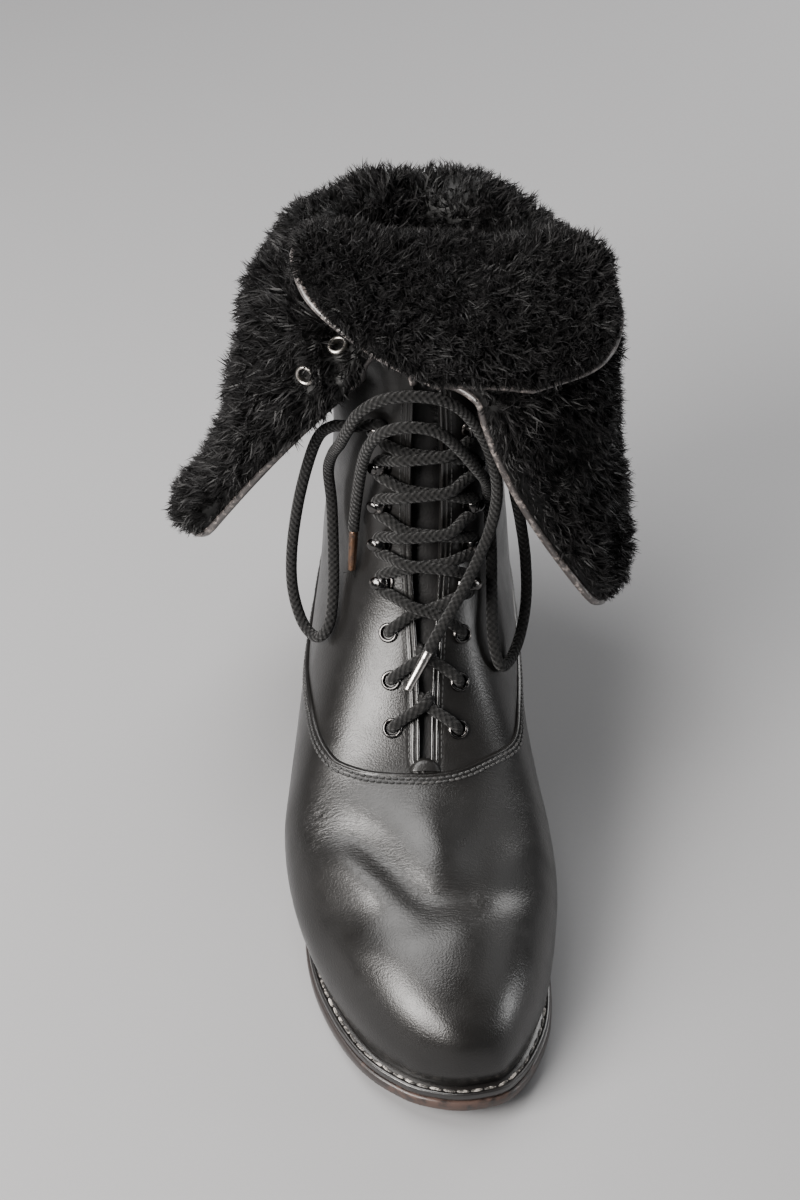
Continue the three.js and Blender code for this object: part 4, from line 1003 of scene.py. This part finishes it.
def addVamp():
    close, waist = vampGrid["close"], vampGrid["waist"]
    rows = np.sort(np.concatenate([
        vampGrid["toe"], np.linspace(0.7, seamStart - 0.3, vampGrid["foreRows"]),
        seamStart - close[1:] / vampGrid["sectionLength"], [seamStart], seamStart + vampGrid["after"],
        np.linspace(seamStart + 0.5, waist, vampGrid["sideRows"]),
        np.linspace(waist, seamEnd, vampGrid["backRows"])[1:]]))
    grids = []
    for side in (1.0, -1.0):
        turns = turnsByArc(rows, side, seamTurn(rows, side), featherTurn(rows, 0.25), close, vampGrid["columns"])
        grids.append((lastPoint(rows[:, None], side, turns), side < 0))
    points, faces = sheetFrom(grids)
    normals = sheetNormals(points, faces)
    edgeRows = np.linspace(seamStart, seamEnd, 500)
    lateral, medial = (lastPoint(edgeRows, side, seamTurn(edgeRows, side)) for side in (-1.0, 1.0))
    seam = evenly(np.concatenate([lateral[::-1], medial[1:]]), 2600)
    away = distanceTo(points, seam)
    high = vamp["rise"] * np.sqrt(np.clip(1 - (1 - np.clip(away / vamp["edgeRound"], 0, 1)) ** 2, 0, 1))
    high += swell(away, *vamp["bead"]) + swell(away, *vamp["groove"])
    high += creaseHeight(points, normals)
    low = np.minimum(-vamp["low"] * smooth((away - vamp["lap"]) / 2), high - vamp["thinnest"])
    low = np.where(away < vamp["lap"], vamp["lapUnder"], low)  # the lap lies on the quarters
    shell, sides = shellOf(points, faces, high, low)
    item = addMesh("vampLeather", shell, sides, [blackHide, liningFleece], sharp=62,
                   values={"flex": np.tile(flexOf(points, normals), 2)}, faceSlots=innerSlots(faces, sides))
    put(item, ["upper"])
    return seam, points, normals, high


seam, vampPoints, vampNormals, vampHigh = addVamp()
print("vamp made")


def besideSeam(distance):  # a line on the vamp a distance from its edge
    line = evenly(seam, 700)
    inward = unit(np.cross(unit(np.gradient(line, axis=0)), vampNormals[nearestIn(line, vampPoints)]))
    front = len(line) // 2
    return line + inward * (-distance if inward[front, 1] > 0 else distance)


def addSeamStitches():
    spots = []
    for distance in vamp["stitchRows"]:
        place, way = alongLine(besideSeam(distance), vamp["pitch"])
        at = nearestIn(place, vampPoints)
        normal = vampNormals[at]
        off = ((place - vampPoints[at]) * normal).sum(1)
        spots.append((place + normal * (vampHigh[at] - off + vamp["threadLift"])[:, None], way, normal))
    item = repeatOn("seamStitches", spots, capsuleOf(*vamp["thread"]), seamThread, wobble=(0, 0, 0.10), seed=3)
    put(item)


addSeamStitches()

# the quarters, the shaft and its turned cuff as one leather

quarters = {"footRows": 18, "footTop": 7.5, "rows": 96, "columns": 46, "cuffRows": 44, "tuck": 3.0,
            "beads": ((0.2, 0.4, 0.42), (0.15, 2.3, 0.42)), "stitch": 4.0, "stitchDip": (-0.15, 4.0, 0.5),
            "stitched": (7.25, 17.9), "pitch": 2.4, "thread": (2.0, 0.6, 0.5), "threadLift": 0.05}


def addQuarters():
    across = np.linspace(0, 1, quarters["columns"])
    share = 0.35 * across + 0.65 * across ** 1.7  # closer together near the front edge
    downs = np.linspace(0, 1, quarters["cuffRows"] + 1)[1:]
    rows = np.concatenate([np.linspace(seamStart - 0.15, quarters["footTop"], quarters["footRows"]),
                           np.linspace(quarters["footTop"], body["shaftTop"], quarters["rows"])[1:]])
    ends = {side: seamTurn(rows, side, quarters["tuck"]) for side in (1.0, -1.0)}  # tucked under the vamp
    points, faces = sheetFrom([(shaftAndCuff(side, rows, end, share, downs), side < 0) for side, end in ends.items()])
    edgeRows = np.linspace(body["vampPoint"], body["shaftTop"], 500)
    edges = np.concatenate([lastPoint(edgeRows, side, throatTurn(edgeRows, side)) for side in (-1.0, 1.0)])
    away = distanceTo(points, edges)
    high = sum(swell(away, *bead) for bead in quarters["beads"]) + swell(away, *quarters["stitchDip"])
    shell, sides = shellOf(points, faces, high, -body["wall"])
    item = addMesh("quarterLeather", shell, sides, [quarterHide, liningFleece], sharp=60,
                   faceSlots=innerSlots(faces, sides))
    put(item, ["upper"])


addQuarters()
print("quarters and cuff made")

# the tongue, from under the vamp up inside the lacing and folded forward, and the bindings on it and on the cuff

tongue = {"thick": 1.8, "rows": 60, "flapRows": 56, "columns": 42, "start": 6.4, "turnLow": 0.17, "turnHigh": 0.42,
          "insetLow": 1.3, "insetHigh": 9, "flap": 6}
bindings = {"cuff": 1.75, "tongue": 1.5, "throat": 0.72, "sides": 8,
            "throatRows": ((0.35, 0.15), (2.3, 0.35))}  # the piping's distance from the edge and depth


def tongueInside(s, t):
    s, t = np.broadcast_arrays(np.asarray(s, float), np.asarray(t, float))
    share = (s - tongue["start"]) / (body["shaftTop"] - tongue["start"])
    inset = body["wall"] + mix(tongue["insetLow"], tongue["insetHigh"], share ** 2)
    turn = mix(tongue["turnLow"], tongue["turnHigh"], share) * (2 * t - 1)
    side = np.where(turn < 0, -1.0, 1.0)
    normal = lastNormal(s, side, np.maximum(np.abs(turn), 0.03))
    normal[..., 0] *= smooth(np.abs(turn) / 0.06)  # no step in the middle
    return lastPoint(s, side, np.abs(turn)) - unit(normal) * inset[..., None]


def tongueOutside(at, t):
    at, t = np.broadcast_arrays(np.asarray(at, float), np.asarray(t, float))
    get = lambda column: readColumn(tongueTable, column, at)
    u = 2 * t - 1
    x = get("half") * u
    z = get("z") - get("down") * u * u - get("roll") * x
    return np.stack([get("x") + x, get("y") + get("back") * u * u, z], -1)


def addTongue():
    t = np.linspace(0, 1, tongue["columns"])[None]
    inside = tongueInside(np.linspace(tongue["start"], body["shaftTop"], tongue["rows"])[:, None], t)
    outside = tongueOutside(np.linspace(0, tongue["flap"], tongue["flapRows"])[:, None], t)
    points, faces = sheetFrom([(np.concatenate([inside, outside]), False)])
    item = addMesh("tongueLeather", *shellOf(points, faces, 0.0, -tongue["thick"]), [tongueHide], sharp=60)
    put(item, ["tongue"])


def tongueRim(inset, end):  # down one side of the flap, across its front and up the other side
    at, across = np.linspace(0, tongue["flap"], 120), np.linspace(0, 1, 60)
    left, right = tongueOutside(at, inset), tongueOutside(at, 1 - inset)
    return np.concatenate([left, tongueOutside(end, across)[1:-1], right[::-1]])


def tongueEdge():
    line, inner = tongueRim(0.0, tongue["flap"]), tongueRim(0.03, tongue["flap"] - 0.1)
    normal = unit(np.cross(np.gradient(line, axis=0), inner - line))
    return evenly(line + normal * tongue["thick"] / 2, 320)


def cuffEdge():
    down, hem = np.linspace(0.02, 1, 90), np.linspace(0, 1, 300)[1:-1]
    around = np.concatenate([np.zeros_like(down), hem, np.ones_like(down)])
    down = np.concatenate([down, np.ones_like(hem), down[::-1]])
    return evenly(cuffPoint(around, down) - cuffNormal(around, down) * body["wall"] / 2, 420)


def addBindings():
    parts = [tubeOf(line, bindings[key], bindings["sides"]) for key, line in (
        ("cuff", cuffEdge()), ("tongue", tongueEdge()))]
    put(addMesh("edgeBinding", *joined(parts), [bindingHide], sharp=0))
    rows = np.concatenate([np.linspace(7.02, 7.6, 40), np.linspace(7.6, body["shaftTop"], 200)[1:]])
    parts = []
    for side in (-1.0, 1.0):
        for inward, sink in bindings["throatRows"]:
            turn = turnAt(rows, side, throatGap(rows) + inward)
            line = lastPoint(rows, side, turn) - lastNormal(rows, side, np.maximum(turn, 0.02)) * sink
            parts.append(tubeOf(line, bindings["throat"], bindings["sides"]))
    put(addMesh("throatPiping", *joined(parts), [pipedHide], sharp=0))


addTongue()
addBindings()
print("tongue and bindings made")

# sole, welt and heel

soleForm = {"perSide": 150, "overhang": 0.7, "ballAt": -130, "waistAt": -60, "blend": 40, "stitchPitch": 5.2,
            "stitchAt": 0.60, "stitchSunk": 0.30, "thread": (4.7, 1.25, 0.8)}
soleProfile = [  # out from the edge, up, and whether up is from the top face
    (-1.0, 0.0, True), (-0.35, -0.25, True), (0.0, -0.9, True), (0.15, -2.4, True), (0.05, 1.2, False),
    (-0.3, 0.45, False), (-0.9, 0.0, False)]
weltProfile = [  # what out is measured from, out, up, and whether up is from the top face
    ("upper", -6.0, 0.0, True), ("upper", 0.3, 0.0, True),
    ("groove", -1.1, -0.05, True), ("groove", -0.55, -0.38, True), ("groove", 0.55, -0.38, True),
    ("groove", 1.0, -0.05, True), ("edge", -0.55, -0.1, True), ("edge", -0.1, -0.5, True), ("edge", 0.0, -1.2, True),
    ("edge", 0.0, -2.6, True), ("edge", -0.35, 0.35, False), ("edge", -1.2, 0.0, False), ("upper", -6.0, 0.0, False)]
heelForm = {"points": 120, "face": 0.85, "edge": 1.2, "joint": 1.12, "layers": 3, "round": 0.4, "jointWide": 0.35,
            "jointDeep": 0.12, "breastIn": 0.35, "mostIn": 1.6}
liftProfile = [  # up, in, and whether up is from the top face
    (0.0, 1.5, True), (-0.35, 1.22, True), (0.9, 1.2, False), (0.3, 1.45, False), (0.0, 2.1, False)]


def weltReach(y):
    toe = mix(sole["reachWaist"], sole["reachToe"], smooth((soleForm["ballAt"] - y) / soleForm["blend"]))
    heel = mix(sole["reachWaist"], sole["reachHeel"], smooth((y - soleForm["waistAt"]) / soleForm["blend"]))
    return np.where(y < soleForm["ballAt"], toe, heel)


def footEdge():  # the upper's edge at the sole: toe, medial side, heel, lateral side
    below = lambda s: featherLine(readColumn(lastTable, "lowY", s)) - readColumn(lastTable, "lowZ", s)
    toeClose, heelClose = sectionWhere(lambda s: -below(s), 0.0, 1.0), sectionWhere(below, 11.0, 13.0)
    t = np.linspace(0, 1, 900)
    s = toeClose + (heelClose - toeClose) * (t - np.sin(2 * np.pi * t) / (2 * np.pi) * 0.98)  # closer at both ends
    halves = []
    for side in (1.0, -1.0):
        line = lastPoint(s, side, featherTurn(s))[:, :2]
        line[[0, -1], 0] = readColumn(lastTable, "swing", s[[0, -1]])
        halves.append(evenly(line, soleForm["perSide"] + 1))
    return np.concatenate([halves[0], halves[1][::-1][1:-1]])


edgeLoop = footEdge()


def loopOut(reach):
    along = np.roll(edgeLoop, -1, 0) - np.roll(edgeLoop, 1, 0)
    for _ in range(3):
        along = (np.roll(along, -1, 0) + along + np.roll(along, 1, 0)) / 3
    way = unit(np.stack([along[:, 1], -along[:, 0]], 1))
    return edgeLoop + way * np.broadcast_to(reach, (len(edgeLoop),))[:, None]


def ringAt(reach, height, up):
    loop = loopOut(reach)
    return np.column_stack([loop, height(loop[:, 1]) + up])


def addOutsole():
    top = lambda y: soleUnder(y) + sole["outsole"]
    edge = weltReach(edgeLoop[:, 1]) + soleForm["overhang"]
    points, faces = stackOf([ringAt(edge + out, top if fromTop else soleUnder, up) for out, up, fromTop in soleProfile])
    slots = np.zeros(len(faces), int)
    slots[-(len(edgeLoop) // 2):] = 1  # the underside
    item = addMesh("outsoleLeather", points, faces, [soleEdge, soleUnderHide], sharp=48, faceSlots=slots)
    put(item, ["outsole"])


def addWelt():
    y = edgeLoop[:, 1]
    low = lambda v: soleUnder(v) + sole["outsole"] + body["gap"]
    high = lambda v: low(v) + sole["welt"]
    reach = weltReach(y)
    groove = reach * soleForm["stitchAt"]
    starts = {"upper": np.zeros_like(y), "groove": groove, "edge": reach}
    rings = [ringAt(starts[key] + out, high if fromTop else low, up) for key, out, up, fromTop in weltProfile]
    put(addMesh("weltStrip", *stackOf(rings, wrapped=True), [weltHide], sharp=42), ["welt"])
    line = np.roll(ringAt(groove, high, -soleForm["stitchSunk"]), -np.argmax(y), 0)  # from the heel round to it again
    place, way = alongLine(np.concatenate([line, line[:1]]), soleForm["stitchPitch"])
    spots = [(place, way, np.tile((0.0, 0.0, 1.0), (len(place), 1)))]
    thread = capsuleOf(*soleForm["thread"])
    put(repeatOn("weltStitches", spots, thread, weltThread, wobble=(0.05, 0.05, 0.07), seed=8))


def heelLoop(inset):  # the outsole's outline behind the breast
    ring = loopOut(weltReach(edgeLoop[:, 1]) + soleForm["overhang"] - inset)
    breast = sole["breast"]
    k = np.where(ring[:, 1] > breast)[0]
    first, final = ring[k[0] - 1], ring[(k[-1] + 1) % len(ring)]
    enter = mix(first, ring[k[0]], (breast - first[1]) / (ring[k[0]][1] - first[1]))
    leave = mix(ring[k[-1]], final, (breast - ring[k[-1]][1]) / (final[1] - ring[k[-1]][1]))
    return evenly(np.concatenate([[enter], ring[k], [leave]]), heelForm["points"])


def heelBlock(levels):
    rings = []
    for height, inset in levels:
        line = heelLoop(inset)
        atBreast = line[:, 1] < sole["breast"] + 0.3
        line[:, 1] += np.where(atBreast, min(inset, heelForm["mostIn"]) * heelForm["breastIn"], 0.0)
        rings.append(np.column_stack([line, np.full(len(line), height)]))
    return stackOf(rings, fromMiddle=False)


def addHeel():
    top, low = sole["heelHeight"] - body["gap"], sole["lift"] + body["gap"]
    face, edge, groove = heelForm["face"], heelForm["edge"], heelForm["joint"]
    wide, deep = heelForm["jointWide"], heelForm["jointDeep"]
    levels = [(top, edge), (top - heelForm["round"], face)]
    for k in range(1, heelForm["layers"]):
        joint = top - (top - low) / heelForm["layers"] * k
        levels += [(joint + wide, face), (joint + deep, groove), (joint - deep, groove), (joint - wide, face)]
    levels += [(low + heelForm["round"], face), (low, edge)]
    put(addMesh("heelStack", *heelBlock(levels), [heelHide], sharp=40), ["heel_stack"])
    lift = [((sole["lift"] if fromTop else 0.0) + up, inset) for up, inset, fromTop in liftProfile]
    put(addMesh("heelTopPiece", *heelBlock(lift), [heelRubber], sharp=40), ["heel_lift"])


addOutsole()
addWelt()
addHeel()
print("sole and heel made")

# metal: eyelets in the facings and the cuff, lacing hooks above them

metal = {"hole": 2.45, "barrel": 2.9, "flange": 4.1, "seat": 0.25, "lip": 1.0, "sides": 28, "fromEdge": 10.5,
         "eyeletRows": (18, 37, 56), "hookRows": (76, 91.5, 107, 123.5, 139),
         "cuffSpots": np.array([(0.058, 0.218), (0.087, 0.31)]), "cuffRaise": 3.0}  # spots: from the front, down
hook = {"base": 4.0, "plate": 1.0, "width": 4.6, "thick": 1.15, "rise": 5.4, "reach": 4.2, "square": 0.6,
        "headRadius": 2.55, "headHeight": 0.95, "headLong": 1.12}
hands = ((-1.0, "lateral"), (1.0, "medial"))


def eyeletShape():
    hole, flange, seat, lip = metal["hole"], metal["flange"], metal["seat"], metal["lip"]
    middle, half = (hole + flange) / 2, (flange - hole) / 2
    crown = [(middle + half * math.cos(a), seat + lip * math.sin(a)) for a in np.linspace(0, np.pi, 9)]
    barrel = [(metal["barrel"], -body["wall"]), (metal["barrel"], seat)]
    return latheOf(barrel + crown + [(hole, -body["wall"])], metal["sides"])


def hookShape():  # a round base, a stem on the throat side and a domed head over the lace
    base, plate, rise, thick, reach = (hook[key] for key in ("base", "plate", "rise", "thick", "reach"))
    foot = latheOf([(0.02, 0.3), (base - 0.3, 0.3), (base, 0.55), (base - 0.25, plate), (1.4, plate + 0.35),
                    (0.02, plate + 0.4)], 20)
    bow, arc = (rise - 1.0) / 2, np.linspace(-0.5, 0.5, 11) * np.pi
    line = np.stack([bow * np.cos(arc), 0 * arc, 1.0 + bow + bow * np.sin(arc) - thick / 2], 1)
    line = np.concatenate([[[-1.4, 0, 0.75]], line, [[-0.35 * reach, 0, rise - thick / 2]]])
    tangent = unit(np.gradient(line, axis=0))
    normal = np.stack([-tangent[:, 2], 0 * tangent[:, 0], tangent[:, 0]], 1)
    angle = np.linspace(0, 2 * np.pi, 12, endpoint=False)
    square = lambda v: (np.sign(v) * np.abs(v) ** hook["square"])[:, None]
    rings = (line[:, None] + np.array([0, 1, 0]) * (hook["width"] / 2 * square(np.cos(angle)))
             + normal[:, None] * (thick / 2 * square(np.sin(angle))))
    dome = [(max(0.02, hook["headRadius"] * math.sin(a)), hook["headHeight"] * math.cos(a))
            for a in np.linspace(0, np.pi, 9)]
    head, faces = latheOf(dome[::-1], 18)
    head = head * (hook["headLong"], 1, 1) + (-0.42 * reach, 0, rise - 0.35)
    return joined([foot, cappedRings(rings, line[[0, -1]]), (head, faces)])


def addMetal():
    eyelets, cuffEyelets, hooks, names = [], [], [], {"eyelet": [], "cuff_eyelet": [], "hook": []}
    for side, word in hands:
        place, normal = besideThroat(np.array(metal["eyeletRows"], float), side, metal["fromEdge"])
        eyelets.append((place, np.tile((0.0, 0.6, 0.8), (len(place), 1)), normal))
        fromFront, down = metal["cuffSpots"].T
        around = fromFront if side < 0 else 1 - fromFront
        normal = -cuffNormal(around, down)
        raised = cuffPoint(around, down) + normal * (body["wall"] + (metal["cuffRaise"] if side < 0 else 0))
        cuffEyelets.append((raised, cuffPoint(around, down + 0.01) - cuffPoint(around, down), normal))
        place, normal = besideThroat(np.array(metal["hookRows"]), side, metal["fromEdge"])
        inward = np.tile((-side, 0.0, 0.0), (len(place), 1)) + normal * (side * normal[:, :1])
        hooks.append((place, unit(inward), normal))
        for kind, count in (("eyelet", 3), ("cuff_eyelet", 2), ("hook", 5)):
            names[kind] += [f"{kind}_{word}_{k + 1}" for k in range(count)]
    for name, spots, shape, finish, kind in (("eyelets", eyelets, eyeletShape(), blackEnamel, "eyelet"),
                                             ("cuffEyelets", cuffEyelets, eyeletShape(), wornNickel, "cuff_eyelet"),
                                             ("lacingHooks", hooks, hookShape(), blackEnamel, "hook")):
        put(repeatOn(name, spots, shape, finish, sharp=50), names[kind])


addMetal()
print("eyelets and hooks made")

# the lacing: two strands from the lowest eyelets up to the top hooks

lacing = {"under": -5.2, "seat": 3.0, "stem": 4.4, "wrap": 11.4, "hookLift": 2.7, "hookPinch": (0.55, 2.6),
          "eyeletPinch": (0.25, 2.2)}  # a pinch: how much thinner, and over which distance
crossOver = (1.0, 1.0, -1.0, 1.0, -1.0, -1.0, -1.0)  # which side's strand lies on top, row by row
hookSag = (1.2, 3.2, 1.4, 0.7)  # how far a strand hangs below its straight line


def laceAt(along, side, fromEdge, lift):
    return besideThroat(np.array([along], float), side, fromEdge, lift)[0][0]


def strandLine(start):
    rows, hooks, edge = metal["eyeletRows"], metal["hookRows"], metal["fromEdge"]
    under, stem, wrap, lift = lacing["under"], lacing["stem"], lacing["wrap"], lacing["hookLift"]
    side = start
    stops = [(rows[0] - 3, side, 2.0, under)]
    for k, row in enumerate(rows):  # up through an eyelet and across
        over = 4.6 if side == -crossOver[k] else 2.4
        stops += [(row - 1.5, side, edge + 0.5, under), (row - 0.2, side, edge + 0.3, -1.2),
                  (row + 0.9, side, edge - 1.3, 2.2), (row + 3.4, side, edge - 5, lacing["seat"]),
                  (row + 6.6, side, 0.4, over - 0.6)]
        if k < len(rows) - 1:
            stops += [(row + 9.4, -side, -2.2, over - 1.8), (row + 11.6, -side, -0.6, -2.0),
                      (row + 14.0, -side, 4.0, under)]
        else:
            stops.append((row + 10.5, -side, 0.4, over))
        side = -side
    for k, row in enumerate(hooks):  # round a hook and across
        stops += [(row - stem - 0.6, side, edge - 3.4, 3.1), (row - 3.2, side, wrap - 0.9, lift),
                  (row, side, wrap + 0.9, lift), (row + 3.2, side, wrap - 0.9, lift)]
        if k < len(hooks) - 1:
            sag, over = hookSag[k], 4.9 if side == crossOver[k + len(rows)] else 2.7
            rise = hooks[k + 1] - row - 2 * stem
            stops += [(row + stem + 0.2 - 0.4 * sag, side, edge - 3.8, 3.1),
                      (row + stem + 0.36 * rise - sag, side, 0.6, over),
                      (row + stem + 0.64 * rise - sag, -side, 0.6, over)]
            side = -side
    return [laceAt(*stop) for stop in stops], side


def addLacing():
    squeezes = [(laceAt(row, hand, lacing["wrap"], lacing["hookLift"]), *lacing["hookPinch"])
                for row in metal["hookRows"] for hand, _ in hands]
    squeezes += [(laceAt(row, hand, metal["fromEdge"], 0.4), *lacing["eyeletPinch"])
                 for row in metal["eyeletRows"] for hand, _ in hands]
    lines, radii = [], []
    for start, _ in hands:
        line, side = strandLine(start)
        route = np.array(lateralRoute if side < 0 else medialRoute, float)
        line += [route[0], route[0] + 0.15 * (route[1] - route[0])]  # on into the free end
        whole = curveThrough(line, 900)
        whole = evenly(whole, int(lengthOf(whole) / laceWay["step"]))
        radius = np.full(len(whole), laceWay["diameter"] / 2)
        for spot, thinner, spread in squeezes:
            radius -= swell(np.linalg.norm(whole - spot, axis=1), thinner, 0.0, spread)
        lines.append(whole)
        radii.append(radius)
    item = addTubes("lacingStrands", lines, laceCotton, radii)
    put(item, [f"lace_crossing_{k}" for k in range(1, 8)])


addLacing()
print("lacing made")

# throat stitching and the half-moon stay at the foot of the throat

stay = {"wide": 12.5, "deep": 5.4, "thick": 1.5, "rows": 9, "columns": 29, "foot": 6.98, "up": 0.6, "bend": 0.012,
        "sunk": 2.0}


def addThroatStitches():
    rows, spots = np.linspace(*quarters["stitched"], 500), []
    for side, _ in hands:
        turn = turnAt(rows, side, throatGap(rows) + quarters["stitch"])
        line = lastPoint(rows, side, turn) + lastNormal(rows, side, turn) * quarters["threadLift"]
        place, way = alongLine(line, quarters["pitch"])
        at = nearestIn(place, line)
        spots.append((place, way, lastNormal(rows[at], side, turn[at])))
    item = repeatOn("throatStitches", spots, capsuleOf(*quarters["thread"]), seamThread, wobble=(0, 0, 0.06), seed=5)
    put(item)


def addStay():
    angle = np.linspace(0, np.pi, stay["columns"])
    across, foot = np.array((1.0, 0.0, 0.0)), lastPoint(stay["foot"], 1.0, 0.0)
    slope = unit(lastPoint(7.25, 1.0, 0.0) - foot)
    normal = unit(np.cross(across, slope))
    grid = []
    for share in np.linspace(0, 1, stay["rows"]):
        x = stay["wide"] / 2 * np.cos(angle) * share
        up = stay["up"] + stay["deep"] * np.sin(angle) * share
        crown = stay["thick"] * (1 - share ** 6) - stay["bend"] * x ** 2
        grid.append(foot + np.outer(x, across) + np.outer(up, slope) + np.outer(crown, normal))
    points, faces = sheetFrom([(np.array(grid), False)])
    if sheetNormals(points, faces).mean(0) @ normal < 0:
        faces = faces[:, ::-1]
    item = addMesh("throatStay", *shellOf(points, faces, 0.1, -stay["sunk"]), [quarterHide], sharp=60)
    put(item)


addThroatStitches()
addStay()

# fur: an undercoat and tufts on the turned cuff and the tongue

fur = {"under": 5.2, "lift": 0.5, "pile": 6.6, "edgePile": 2.8, "edgeSpan": 6.5, "hemPile": 5.2, "hemSpan": 9,
       "leastPile": 1.2, "lump": 1.1, "lumpSize": 8, "unevenPile": 0.18, "unevenSize": 13, "thick": 2.0,
       "bladesPerTuft": 6, "kinds": 8, "drift": 150.0, "seed": 21}
cuffFur = {"from": 15.2, "columns": 60, "rows": 46, "triangles": 175000, "lean": 0.55, "tousle": 2.6,
           "holeRadius": 4.2, "holeSlope": 2.5}
tongueFurForm = {"across": (0.012, 0.988), "along": (0.25, 5.95), "columns": 56, "rows": 58, "triangles": 150000,
                 "lean": 0.35, "tousle": 2.8, "cleanFrom": (36, 30)}  # the clean edge's first row on each side


def buildTufts():
    group = bpy.data.collections.new("tuftKinds")
    chance = np.random.default_rng(fur["seed"])
    for kind in range(fur["kinds"]):
        points, faces, reach = [], [], []
        curl = chance.normal(0, 0.34, 2)
        for _ in range(fur["bladesPerTuft"]):
            foot = np.append(chance.normal(0, 0.15, 2), -0.16)
            height = chance.uniform(0.7, 1.05)
            tip = np.append(curl + chance.normal(0, 0.13, 2), height)
            middle = np.append(foot[:2] * 0.8 + curl * 0.25 + chance.normal(0, 0.04, 2), 0.52 * height)
            turn = chance.uniform(0, math.pi)
            wide = np.array([math.cos(turn), math.sin(turn), 0]) * chance.uniform(0.034, 0.052)
            start = len(points)
            points += [foot - wide, foot + wide, middle + wide * 0.85, middle - wide * 0.85, tip]
            faces += [[start, start + 1, start + 2, start + 3], [start + 3, start + 2, start + 4, start + 4]]
            # share along each blade, which the fur finish uses to paint a highlight on the tips
            reach += [0.0, 0.0, 0.45, 0.45, 1.0]
        item = addMesh(f"tuft{kind}", np.array(points) / mm, faces, [], sharp=0, values={"tip": np.array(reach)})
        scene.collection.objects.unlink(item)
        group.objects.link(item)
    return group


def lumpy(points, size, seed):  # a smooth wander from a few fixed waves
    chance = np.random.default_rng(seed)
    total = np.zeros(len(points))
    for _ in range(14):
        way = chance.normal(0, 1, 3)
        total += np.sin(points @ (way / size) + chance.uniform(0, 6.3))
    return total / math.sqrt(7)


def furBase(grid, way, flip, backing, cleanEdge, hemEdge, seed, holes=None):  # the undercoat's face, comb and pile
    points, faces = sheetFrom([(grid, flip)])
    comb = unit(way.reshape(-1, 3)[nearestIn(points, grid.reshape(-1, 3))])
    normals = sheetNormals(points, faces)
    clean, hem = distanceTo(points, cleanEdge), distanceTo(points, hemEdge)
    if holes is not None:
        clear = np.maximum(distanceTo(points, holes) - cuffFur["holeRadius"], 0)
        clean = np.minimum(clean, cuffFur["holeSlope"] * clear)
    cover = smooth((clean + 0.6) / 4.5) * smooth((hem + 1.5) / 7)  # thin at both edges
    depth = backing + fur["lift"] + fur["under"] * np.sqrt(cover)
    depth = depth + fur["lump"] * lumpy(points, fur["lumpSize"], seed) * cover
    pile = np.minimum(mix(fur["edgePile"], fur["pile"], smooth(clean / fur["edgeSpan"])),
                      mix(fur["hemPile"], fur["pile"], smooth(hem / fur["hemSpan"])))
    pile = pile * (1 + fur["unevenPile"] * lumpy(points, fur["unevenSize"], seed + 1))
    return points - normals * depth[:, None], faces[:, ::-1], normals, comb, np.maximum(pile, fur["leastPile"])


def addFur(name, base, form, node, seed):
    points, faces, normals, comb, pile = base
    under = closeShell(points, points + normals * fur["thick"], faces)
    put(addMesh(name + "Under", *under, [furUnder], sharp=0), [node])
    item = addMesh(name, points, faces, [], sharp=0, values={"comb": comb, "pile": pile * mm})
    area = sum(p.area for p in item.data.polygons)
    density = form["triangles"] / (3 * fur["bladesPerTuft"]) / area
    settle(item, furTufts, Tufts=tuftKinds, Density=density, Lean=form["lean"], Drift=fur["drift"],
           Tousle=form["tousle"], Kinds=fur["kinds"], Seed=seed, Finish=furCoat)
    put(item, [node])
    print("fur", name, len(item.data.polygons), "faces on", round(area * 1e4), "cm2")


def addCuffFur():
    downs, share = np.linspace(0, 1, cuffFur["rows"]), np.linspace(0, 1, cuffFur["columns"])
    shaft = np.linspace(cuffFur["from"], body["shaftTop"], 14)[:-1]
    for side, name in ((-1.0, "cuffFurLateral"), (1.0, "cuffFurMedial")):
        grid = shaftAndCuff(side, shaft, np.ones_like(shaft), share, downs)
        way = np.gradient(grid, axis=0) + np.array([0, 0, -0.6])
        holes = cuffPoint(*metal["cuffSpots"].T) if side < 0 else None
        clean = np.concatenate([grid[:, 0], grid[-1, :7]])
        base = furBase(grid, way, side < 0, body["wall"], clean, grid[-1], 31 + int(side), holes)
        addFur(name, base, cuffFur, "cuff_fur", 41 + int(side))


def addTongueFur():
    across = np.linspace(*tongueFurForm["across"], tongueFurForm["columns"])
    grid = tongueOutside(np.linspace(*tongueFurForm["along"], tongueFurForm["rows"])[:, None], across[None])
    left, right = tongueFurForm["cleanFrom"]
    clean = np.concatenate([grid[left:, 0], grid[-1], grid[right:, -1]])  # the front edge and its corners
    hem = np.concatenate([grid[:left, 0], grid[:right, -1]])  # the sides up to the fold
    base = furBase(grid, np.gradient(grid, axis=0), False, tongue["thick"], clean, hem, 57)
    addFur("tongueFur", base, tongueFurForm, "tongue_fur", 61)


tuftKinds = buildTufts()
addCuffFur()
addTongueFur()
for item in list(tuftKinds.objects):
    dropShape(item)
bpy.data.collections.remove(tuftKinds)

# the insole keeps its own solid

insole = frame["nodes"]["insole"]
insole.data.materials.clear()
insole.data.materials.append(liningFleece)


def addFloor():
    corners = np.array([(-1, -1, 0), (1, -1, 0), (1, 1, 0), (-1, 1, 0)]) * stage["floorReach"] / mm
    addMesh("studioFloor", corners, np.array([[0, 1, 2, 3]]), [floorFinish()], sharp=0)


addFloor()
print("boot made")
